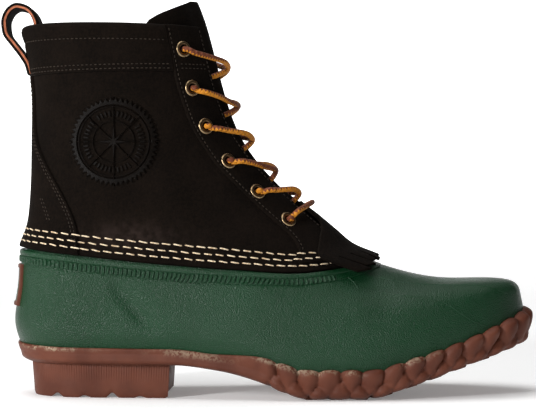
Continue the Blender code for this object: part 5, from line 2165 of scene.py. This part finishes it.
@dataclass
class Lacing:
    """Twelve brass eyelets and the lace that runs through them all."""

    pattern: Pattern
    kiltie: TongueAndKiltie
    finishes: Finishes
    flange: float = 0.00465
    bore: float = 0.00235
    barrel: float = 0.0029
    diameter: float = 0.0032
    standoff: float = 0.0030
    crossing_reach: float = 0.62
    lowest_reach: float = 0.34
    bar_rise: float = 0.22
    depth: float = -0.0044
    sides: int = 14

    def eyelet(self) -> Piece:
        """Turns one eyelet at the origin, its axis along z and its flange's foot at z 0.

        Returns:
            The eyelet.
        """
        profile = (
            (self.flange - 0.0001, 0.0),
            (self.flange, 0.00030),
            (self.flange - 0.00030, 0.00068),
            (self.flange - 0.00085, 0.00092),
            (self.flange - 0.00140, 0.00090),
            (self.bore + 0.00035, 0.00062),
            (self.bore + 0.00005, 0.00015),
            (self.bore, -0.00080),
            (self.bore, -0.00400),
            (self.barrel, -0.00400),
            (self.barrel, -0.00010),
        )
        bpy.ops.object.select_all(action="DESELECT")
        bpy.ops.mesh.primitive_circle_add(vertices=40, radius=profile[0][0])
        made = bpy.context.object
        bpy.ops.object.transform_apply(location=True, rotation=True, scale=True)
        bpy.ops.object.mode_set(mode="EDIT")
        bpy.ops.mesh.select_all(action="SELECT")
        for before, after in zip(profile, (*profile[1:], profile[0])):
            up = {"value": (0.0, 0.0, after[1] - before[1])}
            bpy.ops.mesh.extrude_region_move(TRANSFORM_OT_translate=up)
            share = after[0] / before[0]
            bpy.ops.transform.resize(value=(share, share, 1.0), center_override=(0.0, 0.0, after[1]))
        bpy.ops.mesh.select_all(action="SELECT")
        bpy.ops.mesh.remove_doubles(threshold=0.00001)
        bpy.ops.mesh.normals_make_consistent(inside=False)
        bpy.ops.object.mode_set(mode="OBJECT")
        return made

    def eyelets(self) -> None:
        """Makes the eyelets of both sides."""
        last = self.pattern.last
        for side, word in ((Side.OUTER, "outer"), (Side.INNER, "inner")):
            places = []
            for u, v in self.pattern.eyelets(side):
                z = last.normal(u, v)
                x = unit(np.cross((0.0, 0.0, 1.0), z))
                places.append((last.off(u, v, self.pattern.face - 0.00008), x, np.cross(z, x), z))
            template = self.eyelet()
            shape = np.array([vertex.co for vertex in template.data.vertices])
            radius, z = np.hypot(shape[:, 0], shape[:, 1]), shape[:, 2]
            rim = np.where(z > 0.0002, ease((radius - 0.0042) / 0.0003), 0.0)
            crest = 0.35 * np.exp(-(((radius - self.bore - 0.0003) / 0.0003) ** 2)) * (z > 0.0003)
            piece = copies(template, places, f"brass_eyelets_{word}")
            set_amount(piece, "wear", np.tile(np.clip(rim + crest + 0.12, 0, 1), len(places)))
            nodes = [f"eyelet_{word}_{k + 1}" for k in range(self.pattern.eyelets_per_side)]
            dress(piece, self.finishes.brass, Slot.BRASS, *nodes)

    def crossing(self, side: Side, k: int, over: bool) -> Knots:
        """Route from an eyelet, over the throat and under the other lace stay, to its next eyelet.

        Args:
            side: The side where it starts.
            k: The eyelet there, from the collar down.
            over: Whether it passes over the other strand.

        Returns:
            Knots, each the distance from the throat's middle (positive on the outer side), level and height.
        """
        pattern = self.pattern
        sign = -side.value
        levels = [v for _, v in pattern.eyelets(side)]
        others = [v for _, v in pattern.eyelets(Side(-side.value))]
        lowest = k == pattern.eyelets_per_side - 2
        start = levels[k] - 0.03
        stop = start + (levels[k + 1] - start) * (self.lowest_reach if lowest else self.crossing_reach)
        seat = pattern.face + 0.0003 + self.diameter / 2
        knots = self.through(sign, levels[k])
        near = self.reach(levels[k])
        for t in (0.10, 0.24, 0.38, 0.50, 0.62, 0.74, 0.84):
            v = start + (stop - start) * t
            far = float(pattern.throat_half(v)) * 0.80
            crown = math.sin(math.pi * min(t / 0.9, 1.0)) * self.standoff
            pass_by = (0.0013 if over else -0.0019) * math.exp(-(((t - 0.5) / 0.16) ** 2))
            knots.append((sign * (near - (near + far) * t), v, seat + 0.0006 + crown + pass_by - 0.0018 * t))
        half = float(pattern.throat_half(stop))
        knots.append((-sign * half * 0.76, stop, 0.0002))
        knots.append((-sign * half * 0.97, stop - 0.01, -0.0030))
        knots.append((-sign * (half + 0.0040), stop - 0.04, self.depth))
        arrive = others[k + 1]
        knots.append((-sign * (self.reach(arrive) - 0.0060), arrive + 0.03, self.depth))
        return knots + self.through(-sign, arrive)[::-1]

    def reach(self, v: float) -> float:
        """Distance of an eyelet at level v from the throat's middle."""
        return float(self.pattern.throat_half(v)) + self.pattern.eyelet_setback

    def through(self, sign: float, v: float) -> Knots:
        """Route up through an eyelet.

        Args:
            sign: 1 on the outer side and -1 on the inner side.
            v: The eyelet's level.

        Returns:
            Knots from below it to above it.
        """
        reach = self.reach(v)
        top = (sign * (reach - 0.0013), v, self.pattern.face + 0.0016)
        return [(sign * (reach - 0.0003), v, -0.0030), (sign * reach, v, 0.0004), top]

    def bar(self) -> Knots:
        """Route of the bar over the kiltie's top, from the inner to the outer lowest eyelet.

        Returns:
            Its knots, as a crossing's.
        """
        v0 = self.pattern.eyelets(Side.OUTER)[-1][1]
        seat = float(self.kiltie.kiltie_lift(np.array(v0))) + self.kiltie.kiltie_thickness + 0.0006
        near = self.reach(v0)
        knots = []
        for t in (0.10, 0.24, 0.37, 0.50, 0.63, 0.76, 0.90):
            v = v0 + self.bar_rise * math.sin(math.pi * t)
            edge = 0.0004 * math.exp(-(((abs(t - 0.5) - 0.36) / 0.1) ** 2))
            knots.append((-near + 2 * near * t, v, seat + self.diameter / 2 + edge - 0.0003))
        return knots

    def way_down(self, side: Side, over: bool) -> Knots:
        """Route of one end of the lace, from a top eyelet to a lowest one.

        Args:
            side: The side of its top eyelet.
            over: Whether it passes over the other end at each crossing.

        Returns:
            Its knots, as a crossing's.
        """
        knots: Knots = []
        for k in range(self.pattern.eyelets_per_side - 1):
            knots += self.crossing(side, k, over)[3 if knots else 0 :]
            side = Side(-side.value)
        return knots

    def lace(self) -> None:
        """Makes the lace: one cord from the top outer eyelet down to the bar, and up to the top inner one."""
        last = self.pattern.last
        knots = self.way_down(Side.OUTER, over=True) + self.bar()
        knots += self.way_down(Side.INNER, over=False)[::-1]
        route = smooth_path(np.array(knots), 14)
        sign = np.where(route[:, 0] >= 0, -1.0, 1.0)
        u = sign * (1 - np.abs(route[:, 0]) / last.half_length(sign, route[:, 1]))
        line = last.off(u, route[:, 1], route[:, 2])
        run = Last.run_up(line)
        even = np.linspace(0, run[-1], round(run[-1] / 0.0007))
        line = read_path(line, run, even)
        height = np.interp(even, run, route[:, 2])
        even_out(line, 3)
        radii = self.diameter / 2 * (1 - 0.22 * ease((-0.0016 - height) / 0.0016))
        rings, length = tube_sections(line, radii, self.sides)
        piece = ring_piece("braided_lace", rings)
        self.map_cord(piece, length, self.turned(rings, line, length))
        nodes = [f"lace_crossing_{k + 1}" for k in range(self.pattern.eyelets_per_side - 1)]
        LOG.info("lace: %.0f mm along its middle", 1000 * float(length[-1]))
        dress(piece, self.finishes.lace, Slot.LACE, *nodes, "lace_bar")

    def turned(self, rings: Array, centre: Array, length: Array) -> Array:
        """Finds where the lace's upper side is round each ring, in turns, with a slow twist; the braid's brown
        half is laid from it as painted shade.

        Args:
            rings: The lace's rings of points.
            centre: Their middles.
            length: Metres along the lace.

        Returns:
            The turn of each ring.
        """
        # A fixed direction picks which side of the cord the brown half goes on: painted shade, not the braid's
        # own pattern.
        up = np.array([0.2, -0.2, 1.0])
        toward = (rings - centre[:, None, :]) @ up
        angle = 2 * math.pi * np.arange(self.sides) / self.sides
        turn = np.unwrap(np.arctan2(toward @ np.sin(angle), toward @ np.cos(angle))) / (2 * math.pi)
        even_out(turn, 12)
        return turn + 0.13 * np.sin(2 * math.pi * length / 0.083 + 0.6)

    def map_cord(self, piece: Piece, length: Array, turn: Array) -> None:
        """Lays a map on the lace: metres along it, and turns round it.

        Args:
            piece: The lace.
            length: Metres along it, for each ring.
            turn: Turns at which each ring's upper side lies, from which the brown half is laid as painted
                shade.
        """
        corners = np.zeros(len(piece.data.loops), int)
        piece.data.loops.foreach_get("vertex_index", corners)
        ring, place = corners // self.sides, (corners % self.sides).astype(float)
        # Where a face closes the ring, its first point counts as one past the last.
        for face in piece.data.polygons:
            here = place[face.loop_start : face.loop_start + face.loop_total]
            if len(here) == 4 and here.max() == self.sides - 1 and here.min() == 0:
                here[here == 0] = self.sides
        flow = np.stack([length[ring], place / self.sides - turn[ring] + 0.5], axis=1)
        layer = piece.data.uv_layers.new(name="flow")
        layer.data.foreach_set("uv", flow.astype(np.float32).ravel())

    def build(self) -> None:
        """Makes the eyelets and the lace."""
        self.eyelets()
        self.lace()


# ---------------------------------------------------------------- studio


class Lamp(NamedTuple):
    """A soft box: its place, what it points at, its width and height in metres, and its power in watts."""

    name: str
    place: tuple[float, float, float]
    target: tuple[float, float, float]
    size: tuple[float, float]
    power: float


LAMPS = (
    Lamp("top_box", (-0.15, 0.05, 1.35), (0.08, 0.0, 0.0), (1.4, 1.0), 16.5),
    Lamp("left_box", (-0.90, -0.95, 0.44), (0.0, 0.0, 0.06), (0.24, 0.30), 18.0),
    Lamp("front_box", (-0.42, -1.20, 0.17), (0.0, 0.0, 0.05), (0.08, 0.14), 2.0),
)


@dataclass
class Studio:
    """Pale floor that glows, less by the boot as painted shade, soft lights and the camera at the photograph's
    angle.
    """

    camera_place: tuple[float, float, float] = (0.0964, -1.0, 0.1108)
    view_width: float = 0.3157
    sky: float = 0.12
    painted_shade_near_glow: float = 0.19
    far_glow: float = 0.55

    def white(self, name: str, near: float, far: float) -> Material:
        """Makes a white that glows; where near is below far, the weaker glow by the boot is painted shade.

        Args:
            name: The material's name.
            near: How strongly it glows by the boot; a low value paints shade round it.
            far: How strongly it glows far from the boot.

        Returns:
            The material.
        """
        s = Shading(name)
        away = s.put("ShaderNodeVectorMath", operation="LENGTH")
        s.join(s.place(), away.inputs[0])
        s.drive("Base Color", s.mix(s.noise(3.0, 2.0), (0.90, 0.90, 0.90), (0.92, 0.92, 0.92)))
        s.set(Roughness=0.9, Specular_IOR_Level=0.1, Emission_Color=(1.0, 1.0, 1.0, 1.0))
        # The glow rises with distance from the boot, so the floor by the boot is darker: painted shade.
        s.drive("Emission Strength", s.ramp(away.outputs["Value"], 0.35, 1.7, near, far))
        return s.material

    def stand(self) -> None:
        """Makes the floor, and the wall behind it."""
        for name, size, place, turn, near, far in (
            # The floor's weaker glow by the boot is painted shade; the wall glows evenly.
            ("studio_floor", 8.0, (0.0, 0.0, 0.0), 0.0, self.painted_shade_near_glow, self.far_glow),
            ("studio_wall", 3.6, (0.1, 2.6, -0.90), math.pi / 2, 1.0, 1.0),
        ):
            bpy.ops.object.select_all(action="DESELECT")
            bpy.ops.mesh.primitive_plane_add(size=size, location=place, rotation=(turn, 0.0, 0.0))
            plane = bpy.context.object
            plane.name = name
            bpy.ops.object.transform_apply(location=True, rotation=True, scale=True)
            plane.data.materials.append(self.white(name, near, far))

    def light(self, lamp: Lamp) -> None:
        """Adds a soft box.

        Args:
            lamp: Its name, place, target, size and power.
        """
        data = bpy.data.lights.new(lamp.name, "AREA")
        data.shape = "RECTANGLE"
        data.size, data.size_y = lamp.size
        data.energy = lamp.power
        obj = bpy.data.objects.new(lamp.name, data)
        obj.location = lamp.place
        obj.rotation_mode = "QUATERNION"
        obj.rotation_quaternion = (Vector(lamp.target) - Vector(lamp.place)).to_track_quat("-Z", "Y")
        bpy.context.scene.collection.objects.link(obj)

    def build(self) -> None:
        """Makes the floor, sky, lights and camera."""
        self.stand()
        scene = bpy.context.scene
        world = bpy.data.worlds.new("pale_sky")
        world.use_nodes = True
        back = world.node_tree.nodes["Background"]
        back.inputs["Color"].default_value = (1.0, 1.0, 1.0, 1.0)
        back.inputs["Strength"].default_value = self.sky
        scene.world = world
        scene.view_settings.view_transform = "Standard"
        for lamp in LAMPS:
            self.light(lamp)
        camera = bpy.data.cameras.new("camera")
        camera.sensor_width = 36.0
        camera.lens = 36.0 * abs(self.camera_place[1]) / self.view_width
        camera.clip_start, camera.clip_end = 0.05, 60.0
        obj = bpy.data.objects.new("camera", camera)
        obj.location = self.camera_place
        obj.rotation_euler = (math.pi / 2, 0.0, 0.0)
        scene.collection.objects.link(obj)
        scene.camera = obj


# ---------------------------------------------------------------- the boot

CREASES = (
    Crease((0.0060, 0.0690), (0.0340, 0.0370), 0.0046, -0.00240, Side.OUTER),
    Crease((0.0100, 0.0660), (0.0400, 0.0400), 0.0070, -0.00050, Side.INNER),
    Crease((0.1520, 0.0640), (0.1700, 0.0500), 0.0070, -0.00050),
    Crease((0.1400, 0.0600), (0.1560, 0.0480), 0.0080, 0.00035),
    Crease((0.0220, 0.1190), (0.0740, 0.1080), 0.0070, -0.00075),
    Crease((0.0050, 0.1010), (0.0600, 0.0960), 0.0080, 0.00060),
    Crease((0.0520, 0.1400), (0.0720, 0.1290), 0.0060, -0.00060),
    Crease((-0.0350, 0.1260), (-0.0120, 0.1160), 0.0060, -0.00050),
    Crease((0.0000, 0.1860), (0.0420, 0.1800), 0.0090, -0.00045),
)


def main() -> None:
    """Builds the boot and the studio."""
    logging.basicConfig(level=logging.INFO, format="%(name)s: %(message)s")
    finishes = Finishes()
    last = Last(creases=CREASES)
    pattern = Pattern(last)
    RubberLower(last, finishes).build()
    Sole(last, finishes).build()
    upper = LeatherUpper(pattern, finishes)
    upper.build()
    kiltie = TongueAndKiltie(pattern, finishes)
    kiltie.build()
    Stitching(pattern, upper, finishes).build()
    Lacing(pattern, kiltie, finishes).build()
    Studio().build()


if __name__ == "__main__":
    main()
